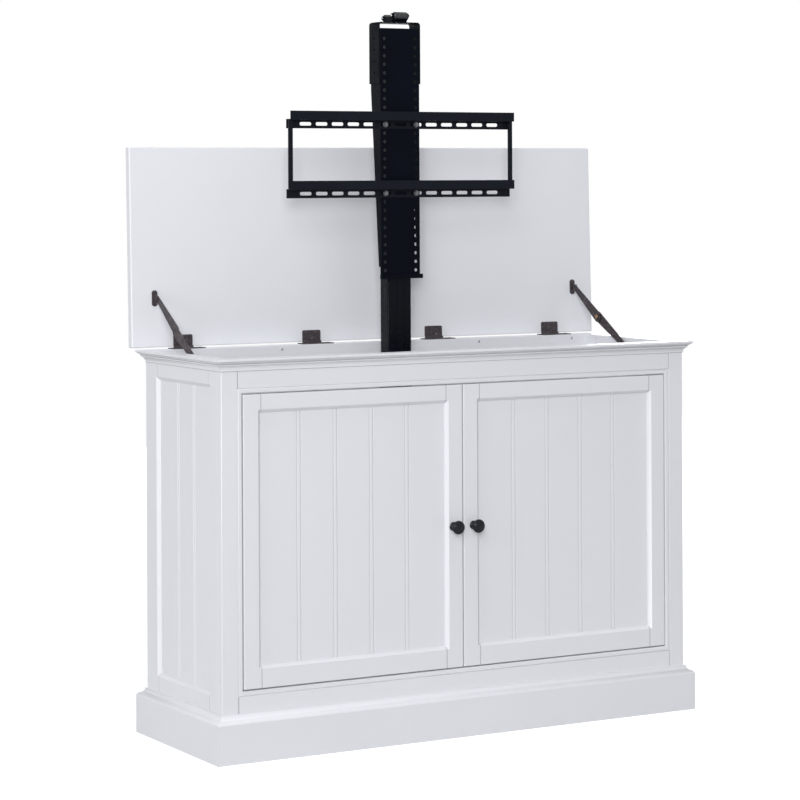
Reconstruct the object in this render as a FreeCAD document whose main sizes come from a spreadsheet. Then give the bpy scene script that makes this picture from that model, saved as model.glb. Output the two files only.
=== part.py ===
import FreeCAD, Part
import math
import os
import Sketcher

# TV lift cabinet: a painted cabinet with two inset doors and a hinged lid, and a
# telescopic lift that carries a television bracket up through the open top.
#
# Frame: millimetres, +Z up, +X to the right as seen from the front, +Y to the back.
# The origin is the middle of the plinth's footprint, on the floor.
# The model stands with the doors shut, the lid open and the lift raised.

doc = FreeCAD.newDocument("TvLiftCabinet")
sheet = doc.addObject("Spreadsheet::Sheet", "Sizes")


class Size:
    """A dimension: its number, and the sheet expression that gives that number."""

    def __init__(self, value, text):
        self.value = float(value)
        self.text = text

    def __add__(self, other):
        other = size_of(other)
        return Size(self.value + other.value, "(" + self.text + " + " + other.text + ")")

    def __sub__(self, other):
        other = size_of(other)
        return Size(self.value - other.value, "(" + self.text + " - " + other.text + ")")

    def __mul__(self, other):
        other = size_of(other)
        return Size(self.value * other.value, "(" + self.text + " * " + other.text + ")")

    def __truediv__(self, other):
        other = size_of(other)
        return Size(self.value / other.value, "(" + self.text + " / " + other.text + ")")

    def __radd__(self, other):
        return size_of(other) + self

    def __rsub__(self, other):
        return size_of(other) - self

    def __rmul__(self, other):
        return size_of(other) * self

    def __neg__(self):
        return Size(-self.value, "(0 - " + self.text + ")")


def size_of(other):
    """Take a plain number as a size with a fixed value."""
    if isinstance(other, Size):
        return other
    return Size(other, "(" + repr(float(other)) + ")")


rows = []


def size(alias, number):
    """Write one driving dimension into the sheet and hand it back as a Size."""
    row = len(rows) + 1
    rows.append(alias)
    sheet.set("A" + str(row), alias)
    sheet.set("B" + str(row), str(number))
    sheet.setAlias("B" + str(row), alias)
    return Size(number, "Sizes." + alias)


# ---------------------------------------------------------------- driving sizes
# Carcass
body_w = size("body_w", 1259)
body_d = size("body_d", 408)
body_top = size("body_top", 905.4)
side_t = size("side_t", 26)
frame_t = size("frame_t", 22)
stile_w = size("stile_w", 41)
top_rail_w = size("top_rail_w", 67)
foot_rail_bottom = size("foot_rail_bottom", 90)
foot_rail_top = size("foot_rail_top", 146.4)
joint_v = size("joint_v", 0.8)
corner_round = size("corner_round", 2)
floor_top = size("floor_top", 128)
floor_t = size("floor_t", 18)
bearer_t = size("bearer_t", 20)
back_t = size("back_t", 12)
hinge_rail_t = size("hinge_rail_t", 21)
hinge_rail_w = size("hinge_rail_w", 65)
rail_screw_in = size("rail_screw_in", 45.5)
rail_screw_down = size("rail_screw_down", 9)
rail_screw_r = size("rail_screw_r", 3.4)
# Plinth
plinth_over = size("plinth_over", 20.5)
plinth_face = size("plinth_face", 89)
plinth_top = size("plinth_top", 108.5)
plinth_fall = size("plinth_fall", 2.5)
plinth_ease_r = size("plinth_ease_r", 15)
plinth_cove_h = size("plinth_cove_h", 8)
plinth_cove_r = size("plinth_cove_r", 14)
plinth_lip = size("plinth_lip", 2)
# Cornice
cornice_over = size("cornice_over", 19.5)
cornice_bottom = size("cornice_bottom", 877)
cornice_fillet = size("cornice_fillet", 5)
cornice_step = size("cornice_step", 10.2)
cornice_foot = size("cornice_foot", 1.6)
cornice_rise = size("cornice_rise", 3)
cornice_cove_r = size("cornice_cove_r", 16)
cornice_neck = size("cornice_neck", 11)
cornice_ovolo_r = size("cornice_ovolo_r", 22)
# Side frames and their panels
side_stile = size("side_stile", 66)
side_open_bottom = size("side_open_bottom", 150)
side_open_top = size("side_open_top", 838.5)
bevel_w = size("bevel_w", 8)
bevel_d = size("bevel_d", 7)
side_recess = size("side_recess", 9)
panel_t = size("panel_t", 9)
panel_lap = size("panel_lap", 8)
groove_w = size("groove_w", 2.6)
groove_d = size("groove_d", 2)
groove_bead = size("groove_bead", 7)
side_board = size("side_board", 85.2)
door_board = size("door_board", 94.4)
# Door opening, bead and doors
bead_w = size("bead_w", 11.5)
bead_round = size("bead_round", 3.2)
door_gap = size("door_gap", 2.6)
door_t = size("door_t", 20)
door_stile = size("door_stile", 44.5)
door_top_rail = size("door_top_rail", 42)
door_foot_rail = size("door_foot_rail", 51)
door_recess = size("door_recess", 10)
door_round = size("door_round", 1.5)
# Knobs
knob_x = size("knob_x", 27.5)
knob_z = size("knob_z", 492)
knob_r = size("knob_r", 16)
knob_reach = size("knob_reach", 31)
knob_neck_r = size("knob_neck_r", 6)
knob_rose_r = size("knob_rose_r", 10.5)
knob_stud_r = size("knob_stud_r", 2)
# Door hinges
seat_gap = size("seat_gap", 0.3)
hinge_cup_r = size("hinge_cup_r", 13)
hinge_cup_in = size("hinge_cup_in", 17)
hinge_cup_d = size("hinge_cup_d", 11)
hinge_cup_play = size("hinge_cup_play", 0.15)
hinge_arm_t = size("hinge_arm_t", 5)
hinge_arm_w = size("hinge_arm_w", 14)
hinge_plate_w = size("hinge_plate_w", 20)
hinge_plate_len = size("hinge_plate_len", 46)
hinge_plate_t = size("hinge_plate_t", 3)
hinge_boss_t = size("hinge_boss_t", 9)
door_hinge_in = size("door_hinge_in", 90)
# Lid, its hinges and stays
lid_over = size("lid_over", 4)
lid_front_over = size("lid_front_over", 26.9)
lid_t = size("lid_t", 22)
lid_lean = size("lid_lean", 1.64)
lid_round = size("lid_round", 2)
lid_axis_out = size("lid_axis_out", 4.1)
lid_axis_up = size("lid_axis_up", 3)
lid_off = size("lid_off", 3.8)
lid_rise = size("lid_rise", 0.5)
hinge_in = size("hinge_in", 109)
barrel_r = size("barrel_r", 3.2)
hinge_pin_r = size("hinge_pin_r", 1.5)
hinge_pin_play = size("hinge_pin_play", 0.1)
knuckle_play = size("knuckle_play", 0.15)
leaf_t = size("leaf_t", 2)
leaf_corner = size("leaf_corner", 2.5)
lid_leaf_w = size("lid_leaf_w", 50)
lid_leaf_len = size("lid_leaf_len", 29)
rail_leaf_w = size("rail_leaf_w", 87)
rail_leaf_len = size("rail_leaf_len", 33)
stay_inset = size("stay_inset", 10.5)
stay_t = size("stay_t", 2.4)
stay_gap = size("stay_gap", 0.3)
stay_pivot_off = size("stay_pivot_off", 15)
stay_pivot_up = size("stay_pivot_up", 117.5)
stay_knee_in = size("stay_knee_in", 90.5)
stay_knee_up = size("stay_knee_up", 47.6)
stay_foot_in = size("stay_foot_in", 233)
stay_foot_down = size("stay_foot_down", 35.4)
stay_knee_r = size("stay_knee_r", 13.5)
stay_tip_r = size("stay_tip_r", 6.5)
stay_pin_r = size("stay_pin_r", 3)
stay_slot = size("stay_slot", 8)
stay_slot_play = size("stay_slot_play", 0.5)
stay_plate_w = size("stay_plate_w", 14)
stay_plate_len = size("stay_plate_len", 38)
stay_plate_t = size("stay_plate_t", 2.5)
stay_plate_corner = size("stay_plate_corner", 4)
stay_lug_w = size("stay_lug_w", 12)
# Lift column
stroke = size("stroke", 815)
tube_w = size("tube_w", 66)
tube_d = size("tube_d", 38)
tube_wall = size("tube_wall", 2.3)
tube_play = size("tube_play", 0.4)
tube_round = size("tube_round", 3)
tube_gap = size("tube_gap", 4.2)
tube_groove_x = size("tube_groove_x", 10)
tube_groove_w = size("tube_groove_w", 6)
tube_groove_d = size("tube_groove_d", 0.8)
outer_len = size("outer_len", 702)
middle_len = size("middle_len", 700)
inner_len = size("inner_len", 693.4)
base_t = size("base_t", 6)
base_edge = size("base_edge", 25.8)
base_d = size("base_d", 120)
plug_t = size("plug_t", 12)
plug_rest = size("plug_rest", 2)
screw_r = size("screw_r", 5)
screw_x = size("screw_x", 12)
screw_short = size("screw_short", 20)
# Carriage
channel_w = size("channel_w", 110)
channel_t = size("channel_t", 2.5)
channel_in = size("channel_in", 114.5)
channel_len = size("channel_len", 611.5)
flange_deep = size("flange_deep", 47.5)
flange_shallow = size("flange_shallow", 11)
flange_start = size("flange_start", 29)
flange_taper = size("flange_taper", 432)
hole_r = size("hole_r", 4.2)
hole_x = size("hole_x", 43)
hole_first = size("hole_first", 20.3)
hole_pitch = size("hole_pitch", 20.95)
foot_h = size("foot_h", 10.8)
foot_d = size("foot_d", 8.5)
foot_over = size("foot_over", 3)
head_t = size("head_t", 8)
head_drop = size("head_drop", 5.6)
cap_t = size("cap_t", 2.6)
cap_len = size("cap_len", 151)
cap_deep = size("cap_deep", 50.5)
cap_rise = size("cap_rise", 15.4)
cap_round = size("cap_round", 8)
cap_gap = size("cap_gap", 0.2)
cap_hole_r = size("cap_hole_r", 2.5)
cap_hole_first = size("cap_hole_first", 27)
cap_hole_pitch = size("cap_hole_pitch", 28)
# Lid rollers
roller_r = size("roller_r", 9)
roller_len = size("roller_len", 38)
roller_bore = size("roller_bore", 2.8)
roller_play = size("roller_play", 0.3)
roller_span = size("roller_span", 47)
roller_edge = size("roller_edge", 2.5)
roller_front_up = size("roller_front_up", 15.6)
roller_rear_up = size("roller_rear_up", 11.2)
cheek_t = size("cheek_t", 2)
fork_front_in = size("fork_front_in", 2)
fork_rear_in = size("fork_rear_in", 8)
cheek_inset = size("cheek_inset", 4)
cheek_edge = size("cheek_edge", 6)
cheek_slope = size("cheek_slope", 16)
axle_head_r = size("axle_head_r", 4.2)
axle_head_t = size("axle_head_t", 2.4)
# Television bracket
rail_len = size("rail_len", 626)
rail_t = size("rail_t", 2.5)
rail_web_low = size("rail_web_low", 10.9)
rail_web_high = size("rail_web_high", 11.4)
rail_flange = size("rail_flange", 22)
rail_lip = size("rail_lip", 22)
slot_len = size("slot_len", 32)
slot_h = size("slot_h", 8.4)
slot_pitch = size("slot_pitch", 43.6)
tie_w = size("tie_w", 10.5)
tie_t = size("tie_t", 6)
bolt_r = size("bolt_r", 3)
bolt_head_r = size("bolt_head_r", 5)
bolt_head_h = size("bolt_head_h", 4)
washer_r = size("washer_r", 7)
washer_t = size("washer_t", 1.6)
# Motor and control box
motor_r = size("motor_r", 21)
motor_top = size("motor_top", 238)
gear_len = size("gear_len", 68)
gear_h = size("gear_h", 40)
gear_d = size("gear_d", 40)
gear_gap = size("gear_gap", 0.5)
motor_edge = size("motor_edge", 3)
control_gap = size("control_gap", 50)
control_w = size("control_w", 160)
control_d = size("control_d", 72)
control_h = size("control_h", 36)
# Bracket from the fixed tube to the back
wall_bracket_up = size("wall_bracket_up", 540)
wall_bracket_h = size("wall_bracket_h", 40)
wall_bracket_t = size("wall_bracket_t", 3)
wall_bracket_spread = size("wall_bracket_spread", 8.3)
wall_bracket_foot = size("wall_bracket_foot", 30)
doc.recompute()

# ---------------------------------------------------------------- derived places
half_w = body_w / 2
half_d = body_d / 2
front_y = -half_d
inner_x = half_w - side_t
frame_back_y = front_y + frame_t
door_open_x = half_w - stile_w - bead_w
door_open_bottom = foot_rail_top + bead_w
door_open_top = body_top - top_rail_w - bead_w
hinge_rail_y = half_d - hinge_rail_t
lid_w = body_w + (cornice_over + lid_over) * 2
lid_axis_y = half_d + cornice_over + lid_axis_out
lid_axis_z = body_top + lid_axis_up
lid_len = lid_axis_y + half_d + cornice_over + lid_front_over
hinge_pitch = (half_w - hinge_in) * 2 / 3
stay_x = inner_x - stay_inset
stay_knee_y = half_d - stay_knee_in
stay_knee_z = body_top + stay_knee_up
stay_foot_y = half_d - stay_foot_in
stay_foot_z = body_top - stay_foot_down
channel_face_y = half_d - channel_in
tube_face_y = channel_face_y + channel_t + tube_gap
column_y = tube_face_y + tube_d / 2
outer_bottom = floor_top + base_t
outer_top = outer_bottom + outer_len
outer_w = tube_w + (tube_wall + tube_play) * 2
outer_d = tube_d + (tube_wall + tube_play) * 2
inner_w = tube_w - (tube_wall + tube_play) * 2
inner_d = tube_d - (tube_wall + tube_play) * 2
middle_bottom = outer_bottom + base_t + stroke / 2
inner_bottom = outer_bottom + base_t + plug_t + plug_rest + stroke
head_bottom = inner_bottom + inner_len
channel_top = head_bottom + head_t + head_drop
channel_bottom = channel_top - channel_len
cap_top = channel_top + cap_rise
cap_bottom = cap_top - cap_len
web_face_y = channel_face_y - rail_t
hole_first_z = channel_bottom + hole_first
lower_rail_z = hole_first_z + hole_pitch * 9
upper_rail_z = hole_first_z + hole_pitch * 17
gear_x = outer_w / 2 + gear_gap
base_w = (gear_x + gear_len + base_edge) * 2


# ---------------------------------------------------------------- building helpers
parts = {}
PLANES = {"XY": "XY_Plane", "XZ": "XZ_Plane", "YZ": "YZ_Plane"}


def new_body(label):
    """Start one sub-part as a PartDesign body whose label names its file."""
    body = doc.addObject("PartDesign::Body", "Body_" + label)
    body.Label = label
    parts[label] = body
    return body


def new_sketch(body, plane, offset=None):
    """Attach a sketch to the body's own origin plane, moved along its normal."""
    sketch = body.newObject("Sketcher::SketchObject", "Sketch")
    role = PLANES[plane]
    for feature in body.Origin.OriginFeatures:
        if feature.Role == role:
            sketch.AttachmentSupport = [(feature, "")]
    sketch.MapMode = "FlatFace"
    if offset is not None:
        offset = size_of(offset)
        shift = FreeCAD.Vector(0, 0, offset.value)
        sketch.AttachmentOffset = FreeCAD.Placement(shift, FreeCAD.Rotation())
        sketch.setExpression("AttachmentOffset.Base.z", offset.text)
    return sketch


def hold(sketch, geometry, position, x, y):
    """Pin one sketch point to its two sheet sizes."""
    for kind, axis, distance in (("DistanceX", -2, x), ("DistanceY", -1, y)):
        distance = size_of(distance)
        if abs(distance.value) < 1e-9:
            sketch.addConstraint(Sketcher.Constraint("PointOnObject", geometry, position, axis))
        else:
            rule = Sketcher.Constraint(kind, -1, 1, geometry, position, distance.value)
            index = sketch.addConstraint(rule)
            sketch.setExpression("Constraints[" + str(index) + "]", distance.text)


def outline(sketch, corners):
    """Closed outline of (x, y) corners; (x, y, r) bends the edge that leaves it.

    A positive radius turns left along the outline, a negative one turns right.
    """
    total = len(corners)
    shapes = []
    ends = []
    for step in range(total):
        here = corners[step]
        there = corners[(step + 1) % total]
        a = FreeCAD.Vector(size_of(here[0]).value, size_of(here[1]).value, 0)
        b = FreeCAD.Vector(size_of(there[0]).value, size_of(there[1]).value, 0)
        if len(here) == 2:
            shapes.append(Part.LineSegment(a, b))
            ends.append((1, 2))
            continue
        radius = size_of(here[2]).value
        chord = b - a
        reach = math.sqrt(max(radius * radius - chord.Length * chord.Length / 4, 0))
        normal = FreeCAD.Vector(-chord.y, chord.x, 0).normalize()
        turn = 1 if radius > 0 else -1
        centre = (a + b) * 0.5 + normal * reach * turn
        start = a if turn > 0 else b
        finish = b if turn > 0 else a
        angle_a = math.atan2(start.y - centre.y, start.x - centre.x)
        angle_b = math.atan2(finish.y - centre.y, finish.x - centre.x)
        circle = Part.Circle(centre, FreeCAD.Vector(0, 0, 1), abs(radius))
        shapes.append(Part.ArcOfCircle(circle, angle_a, angle_b))
        ends.append((1, 2) if turn > 0 else (2, 1))
    first = sketch.addGeometry(shapes, False)[0]
    for step in range(total):
        after = (step + 1) % total
        rule = Sketcher.Constraint("Coincident", first + step, ends[step][1], first + after, ends[after][0])
        sketch.addConstraint(rule)
    for step in range(total):
        corner = corners[step]
        hold(sketch, first + step, ends[step][0], corner[0], corner[1])
        if len(corner) == 3:
            bend = size_of(corner[2])
            if bend.value < 0:
                bend = -bend
            index = sketch.addConstraint(Sketcher.Constraint("Radius", first + step, bend.value))
            sketch.setExpression("Constraints[" + str(index) + "]", bend.text)


def rectangle(sketch, x0, x1, y0, y1):
    """Rectangle between two pairs of sizes."""
    outline(sketch, [(x0, y0), (x1, y0), (x1, y1), (x0, y1)])


def circle(sketch, x, y, radius):
    """Circle with its centre and radius bound to sizes."""
    x = size_of(x)
    y = size_of(y)
    radius = size_of(radius)
    centre = FreeCAD.Vector(x.value, y.value, 0)
    number = sketch.addGeometry(Part.Circle(centre, FreeCAD.Vector(0, 0, 1), radius.value), False)
    hold(sketch, number, 3, x, y)
    index = sketch.addConstraint(Sketcher.Constraint("Radius", number, radius.value))
    sketch.setExpression("Constraints[" + str(index) + "]", radius.text)


def slot(sketch, x, y, length, height):
    """Round-ended slot, lying along the sketch's x."""
    x = size_of(x)
    y = size_of(y)
    r = height / 2
    flat = length / 2 - r
    normal = FreeCAD.Vector(0, 0, 1)
    ends = []
    for sign in (-1, 1):
        middle = FreeCAD.Vector((x + flat * sign).value, y.value, 0)
        bow = Part.Circle(middle, normal, r.value)
        start = math.pi / 2 * -sign
        ends.append(Part.ArcOfCircle(bow, start, start + math.pi))
    sides = []
    for sign in (-1, 1):
        left = FreeCAD.Vector((x - flat).value, (y + r * sign).value, 0)
        right = FreeCAD.Vector((x + flat).value, (y + r * sign).value, 0)
        sides.append(Part.LineSegment(left, right))
    first = sketch.addGeometry(ends + sides, False)[0]
    for number, sign in ((0, -1), (1, 1)):
        hold(sketch, first + number, 3, x + flat * sign, y)
        index = sketch.addConstraint(Sketcher.Constraint("Radius", first + number, r.value))
        sketch.setExpression("Constraints[" + str(index) + "]", r.text)
        for end in (1, 2):
            sketch.addConstraint(Sketcher.Constraint("Vertical", first + number, 3, first + number, end))
    # The left arc starts at the top and ends at the foot, the right one the other way.
    for arc, end, line, tip in ((0, 1, 3, 1), (0, 2, 2, 1), (1, 1, 2, 2), (1, 2, 3, 2)):
        rule = Sketcher.Constraint("Coincident", first + arc, end, first + line, tip)
        sketch.addConstraint(rule)


def many_sided(sketch, x, y, radius, sides):
    """Regular outline whose flats lie at the radius, for small holes that repeat."""
    corner_r = radius / math.cos(math.pi / sides)
    corners = []
    for step in range(sides):
        angle = 2 * math.pi * (step + 0.5) / sides
        corners.append((x + corner_r * math.cos(angle), y + corner_r * math.sin(angle)))
    outline(sketch, corners)


def plain_slot(sketch, x, y, length, height):
    """Slot whose ends are three flats each, for the slots that repeat."""
    tip = length / 2
    half = height / 2
    cut = height * (1 - math.sqrt(0.5))
    outline(sketch, [
        (x - tip + cut, y - half), (x + tip - cut, y - half), (x + tip, y - half + cut),
        (x + tip, y + half - cut), (x + tip - cut, y + half), (x - tip + cut, y + half),
        (x - tip, y + half - cut), (x - tip, y - half + cut),
    ])


def pad(body, sketch, length, reverse=False, middle=False):
    """Extrude a sketch along its normal."""
    length = size_of(length)
    feature = body.newObject("PartDesign::Pad", "Pad")
    feature.Profile = sketch
    feature.Length = length.value
    feature.setExpression("Length", length.text)
    feature.Reversed = reverse
    if middle:
        feature.SideType = "Symmetric"
    body.Tip = feature
    return feature


def pocket(body, sketch, length=None, reverse=False):
    """Cut a sketch into the body, to a depth or through all of it both ways."""
    feature = body.newObject("PartDesign::Pocket", "Pocket")
    feature.Profile = sketch
    if length is None:
        feature.SideType = "Two sides"
        feature.Type = "ThroughAll"
        feature.Type2 = "ThroughAll"
    else:
        length = size_of(length)
        feature.Length = length.value
        feature.setExpression("Length", length.text)
        feature.Reversed = reverse
    body.Tip = feature
    return feature


def repeat(body, feature, sketch, axis, span, count):
    """Linear pattern of a feature along an axis of its sketch."""
    span = size_of(span)
    pattern = body.newObject("PartDesign::LinearPattern", "LinearPattern")
    pattern.Originals = [feature]
    pattern.Direction = (sketch, [axis])
    pattern.Length = span.value
    pattern.setExpression("Length", span.text)
    pattern.Occurrences = count
    body.Tip = pattern
    return pattern


def edges_where(shape, test):
    """Names of the shape's edges whose end points all pass the test."""
    names = []
    for number, edge in enumerate(shape.Edges, 1):
        points = [vertex.Point for vertex in edge.Vertexes]
        if len(points) == 2 and all(test(point) for point in points):
            names.append("Edge" + str(number))
    return names


def close(a, b):
    """Two numbers that stand for the same place."""
    return abs(a - size_of(b).value) < 0.001


def fillet(body, names, radius):
    """Round the named edges of the body."""
    radius = size_of(radius)
    base = body.Tip
    feature = body.newObject("PartDesign::Fillet", "Fillet")
    feature.Base = (base, names)
    feature.Radius = radius.value
    feature.setExpression("Radius", radius.text)
    body.Tip = feature
    return feature


def chamfer(body, names, first, second=None):
    """Bevel the named edges, by one or by two distances."""
    first = size_of(first)
    base = body.Tip
    feature = body.newObject("PartDesign::Chamfer", "Chamfer")
    feature.Base = (base, names)
    if second is not None:
        second = size_of(second)
        feature.ChamferType = "Two distances"
        feature.Size2 = second.value
        feature.setExpression("Size2", second.text)
    feature.Size = first.value
    feature.setExpression("Size", first.text)
    body.Tip = feature
    return feature


def put(item, x=0, y=0, z=0, rotation=None):
    """Place a finished object; its base point follows the sheet."""
    places = [size_of(x), size_of(y), size_of(z)]
    base = FreeCAD.Vector(places[0].value, places[1].value, places[2].value)
    if rotation is None:
        rotation = FreeCAD.Rotation()
    item.Placement = FreeCAD.Placement(base, rotation)
    for name, place in zip("xyz", places):
        item.setExpression("Placement.Base." + name, place.text)


def block(label, x0, x1, y0, y1, z0, z1):
    """Plain board as a body: a rectangle in plan, padded upwards."""
    body = new_body(label)
    sketch = new_sketch(body, "XY", z0)
    rectangle(sketch, x0, x1, y0, y1)
    pad(body, sketch, size_of(z1) - z0)
    return body


def slab(x0, x1, y0, y1, z0, z1):
    """Plain box between three pairs of numbers."""
    box = Part.makeBox(x1 - x0, y1 - y0, z1 - z0)
    box.translate(FreeCAD.Vector(x0, y0, z0))
    return box


def prism(points, x0, x1):
    """Solid with an outline in Y and Z, running along X."""
    corners = [FreeCAD.Vector(x0, y, z) for y, z in points]
    wire = Part.makePolygon(corners + corners[:1])
    return Part.Face(wire).extrude(FreeCAD.Vector(x1 - x0, 0, 0))


def rod(x0, x1, y, z, radius):
    """Round bar along X."""
    return Part.makeCylinder(radius, x1 - x0, FreeCAD.Vector(x0, y, z), FreeCAD.Vector(1, 0, 0))


def faceted(start, along, radius, sides=12):
    """Bar with flat sides from a point along one axis; its flats lie at the radius."""
    base = FreeCAD.Vector(*start)
    run = FreeCAD.Vector(*along)
    side = FreeCAD.Vector(0, 1, 0) if abs(run.x) > 0 else FreeCAD.Vector(1, 0, 0)
    upward = FreeCAD.Vector(0, 1, 0) if abs(run.z) > 0 else FreeCAD.Vector(0, 0, 1)
    corner_r = radius / math.cos(math.pi / sides)
    corners = []
    for step in range(sides):
        angle = 2 * math.pi * (step + 0.5) / sides
        corners.append(base + side * (corner_r * math.cos(angle)) + upward * (corner_r * math.sin(angle)))
    return Part.Face(Part.makePolygon(corners + corners[:1])).extrude(run)


def turning(profile, sides):
    """Turned solid about Z from (radius, height) rings, with flat facets between them."""
    rings = []
    for radius, height in profile:
        ring = []
        for step in range(sides):
            angle = 2 * math.pi * step / sides
            ring.append(FreeCAD.Vector(radius * math.cos(angle), radius * math.sin(angle), height))
        rings.append(ring)
    faces = [Part.Face(Part.makePolygon(ring + ring[:1])) for ring in (rings[0], rings[-1])]
    for lower, upper in zip(rings, rings[1:]):
        for step in range(sides):
            after = (step + 1) % sides
            corners = [lower[step], lower[after], upper[after], upper[step], lower[step]]
            faces.append(Part.Face(Part.makePolygon(corners)))
    return Part.Solid(Part.Shell(faces))


def single(label, shape):
    """One solid made from Part's own shapes, in a node of its own."""
    item = doc.addObject("Part::Feature", "Piece_" + label)
    item.Label = label
    item.Shape = shape
    parts[label] = item
    return item


def gather(label, shapes):
    """Several separate solids of one kind that share a node."""
    return single(label, Part.makeCompound(shapes))


# ---------------------------------------------------------------- mouldings
def moulding(label, side, profile, over):
    """Run a profile of (outward, height) along one side and mitre both ends."""
    body = new_body(label)
    sign = -1 if side in ("front", "left") else 1
    across = side in ("front", "back")
    wall = half_d if across else half_w
    run = half_w if across else half_d
    corners = []
    for corner in profile:
        place = (wall + corner[0]) * sign
        if len(corner) == 2:
            corners.append((place, corner[1]))
        else:
            corners.append((place, corner[1], corner[2] * sign))
    sketch = new_sketch(body, "YZ" if across else "XZ")
    outline(sketch, corners)
    pad(body, sketch, (run + over) * 2, middle=True)
    cut = new_sketch(body, "XY")
    reach = run + over
    for end in (-1, 1):
        inner = (wall * sign, reach * end - over * end)
        outer = (wall * sign, (reach + 1) * end)
        tip = ((wall + over + 1) * sign, (reach + 1) * end)
        triangle = [inner, outer, tip]
        if across:
            triangle = [(b, a) for a, b in triangle]
        outline(cut, triangle)
    pocket(body, cut)
    return body


plinth_profile = [
    (size_of(0), size_of(0)),
    (plinth_over, size_of(0)),
    (plinth_over, plinth_face),
    (plinth_over - plinth_lip, plinth_face + plinth_fall, plinth_ease_r),
    (plinth_over * 0.46, plinth_face + plinth_cove_h, -plinth_cove_r),
    (plinth_over * 0.2, plinth_top - plinth_lip),
    (plinth_over * 0.2, plinth_top),
    (size_of(0), plinth_top),
]
cornice_profile = [
    (size_of(0), cornice_bottom),
    (cornice_foot, cornice_bottom),
    (cornice_foot, cornice_bottom + cornice_rise, -cornice_cove_r),
    (cornice_step, body_top - cornice_neck - cornice_rise),
    (cornice_step, body_top - cornice_neck, cornice_ovolo_r),
    (cornice_over - cornice_foot, body_top - cornice_fillet),
    (cornice_over, body_top - cornice_fillet),
    (cornice_over, body_top),
    (size_of(0), body_top),
]
for side in ("front", "left", "right", "back"):
    moulding("plinth_" + side, side, plinth_profile, plinth_over)
    moulding("cornice_" + side, side, cornice_profile, cornice_over)

# ---------------------------------------------------------------- face frame
for name, sign in (("left", -1), ("right", 1)):
    stile = new_body("face_stile_" + name)
    sketch = new_sketch(stile, "XY")
    outer_x = half_w * sign
    inner_edge = (half_w - stile_w) * sign
    v = joint_v * sign
    outline(sketch, [
        (inner_edge, front_y + joint_v),
        (inner_edge + v, front_y),
        (outer_x - corner_round * sign, front_y, corner_round * sign),
        (outer_x, front_y + corner_round),
        (outer_x, frame_back_y - joint_v),
        (outer_x - v, frame_back_y),
        (inner_edge, frame_back_y),
    ])
    pad(stile, sketch, body_top)

rail_x = half_w - stile_w
block("face_rail_top", -rail_x, rail_x, front_y, frame_back_y, body_top - top_rail_w, body_top)
block("face_rail_foot", -rail_x, rail_x, front_y, frame_back_y, foot_rail_bottom, foot_rail_top)

# The bead lines the door opening, with a rounded front and mitred, glued corners.
bead = new_body("door_bead")
sketch = new_sketch(bead, "XZ", -front_y)
rectangle(sketch, -rail_x, rail_x, foot_rail_top, body_top - top_rail_w)
pad(bead, sketch, frame_t, reverse=True)
sketch = new_sketch(bead, "XZ", -front_y)
rectangle(sketch, -door_open_x, door_open_x, door_open_bottom, door_open_top)
pocket(bead, sketch)
doc.recompute()
fillet(bead, edges_where(bead.Shape, lambda p: close(p.y, front_y)), bead_round)

# ---------------------------------------------------------------- side frames
open_y = half_d - side_stile
for name, sign in (("left", -1), ("right", 1)):
    frame = new_body("side_frame_" + name)
    start = (half_w if sign > 0 else -inner_x)
    sketch = new_sketch(frame, "YZ", inner_x if sign > 0 else -half_w)
    rectangle(sketch, frame_back_y, half_d, size_of(0), body_top)
    pad(frame, sketch, side_t)
    sketch = new_sketch(frame, "YZ", half_w * sign)
    rectangle(sketch, -open_y, open_y, side_open_bottom, side_open_top)
    pocket(frame, sketch)
    doc.recompute()

    def on_face(point):
        inside = abs(point.y) < open_y.value + 0.01
        level = side_open_bottom.value - 0.01 < point.z < side_open_top.value + 0.01
        return close(point.x, half_w * sign) and inside and level
    chamfer(frame, edges_where(frame.Shape, on_face), bevel_w, bevel_d)
    # A rebate from the inside takes the panel.
    sketch = new_sketch(frame, "YZ", (half_w - side_recess) * sign)
    low = side_open_bottom - panel_lap
    rectangle(sketch, -open_y - panel_lap, open_y + panel_lap, low, side_open_top + panel_lap)
    pocket(frame, sketch, side_t, reverse=(sign < 0))

    panel = new_body("side_panel_" + name)
    sketch = new_sketch(panel, "YZ", (half_w - side_recess) * sign)
    rectangle(sketch, -open_y - panel_lap, open_y + panel_lap, low, side_open_top + panel_lap)
    pad(panel, sketch, panel_t, reverse=(sign > 0))
    sketch = new_sketch(panel, "XY")
    face_x = (half_w - side_recess) * sign
    for centre in (side_board * -0.5, side_board * 0.5):
        for edge in (-1, 1):
            middle = centre + (groove_bead / 2 + groove_w / 2) * edge
            outline(sketch, [
                (face_x + sign, middle - groove_w * 0.75),
                (face_x + sign, middle + groove_w * 0.75),
                (face_x - groove_d * sign, middle),
            ])
    pocket(panel, sketch)

# ---------------------------------------------------------------- inside boards
block("floor_panel", -inner_x, inner_x, frame_back_y, half_d - back_t, floor_top - floor_t, floor_top)
block("floor_bearer", -bearer_t / 2, bearer_t / 2, frame_back_y, half_d - back_t,
      size_of(0), floor_top - floor_t)
block("back_panel", -inner_x, inner_x, half_d - back_t, half_d, size_of(0), body_top - hinge_rail_w)
block("hinge_rail", -inner_x, inner_x, hinge_rail_y, half_d, body_top - hinge_rail_w, body_top)

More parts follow.
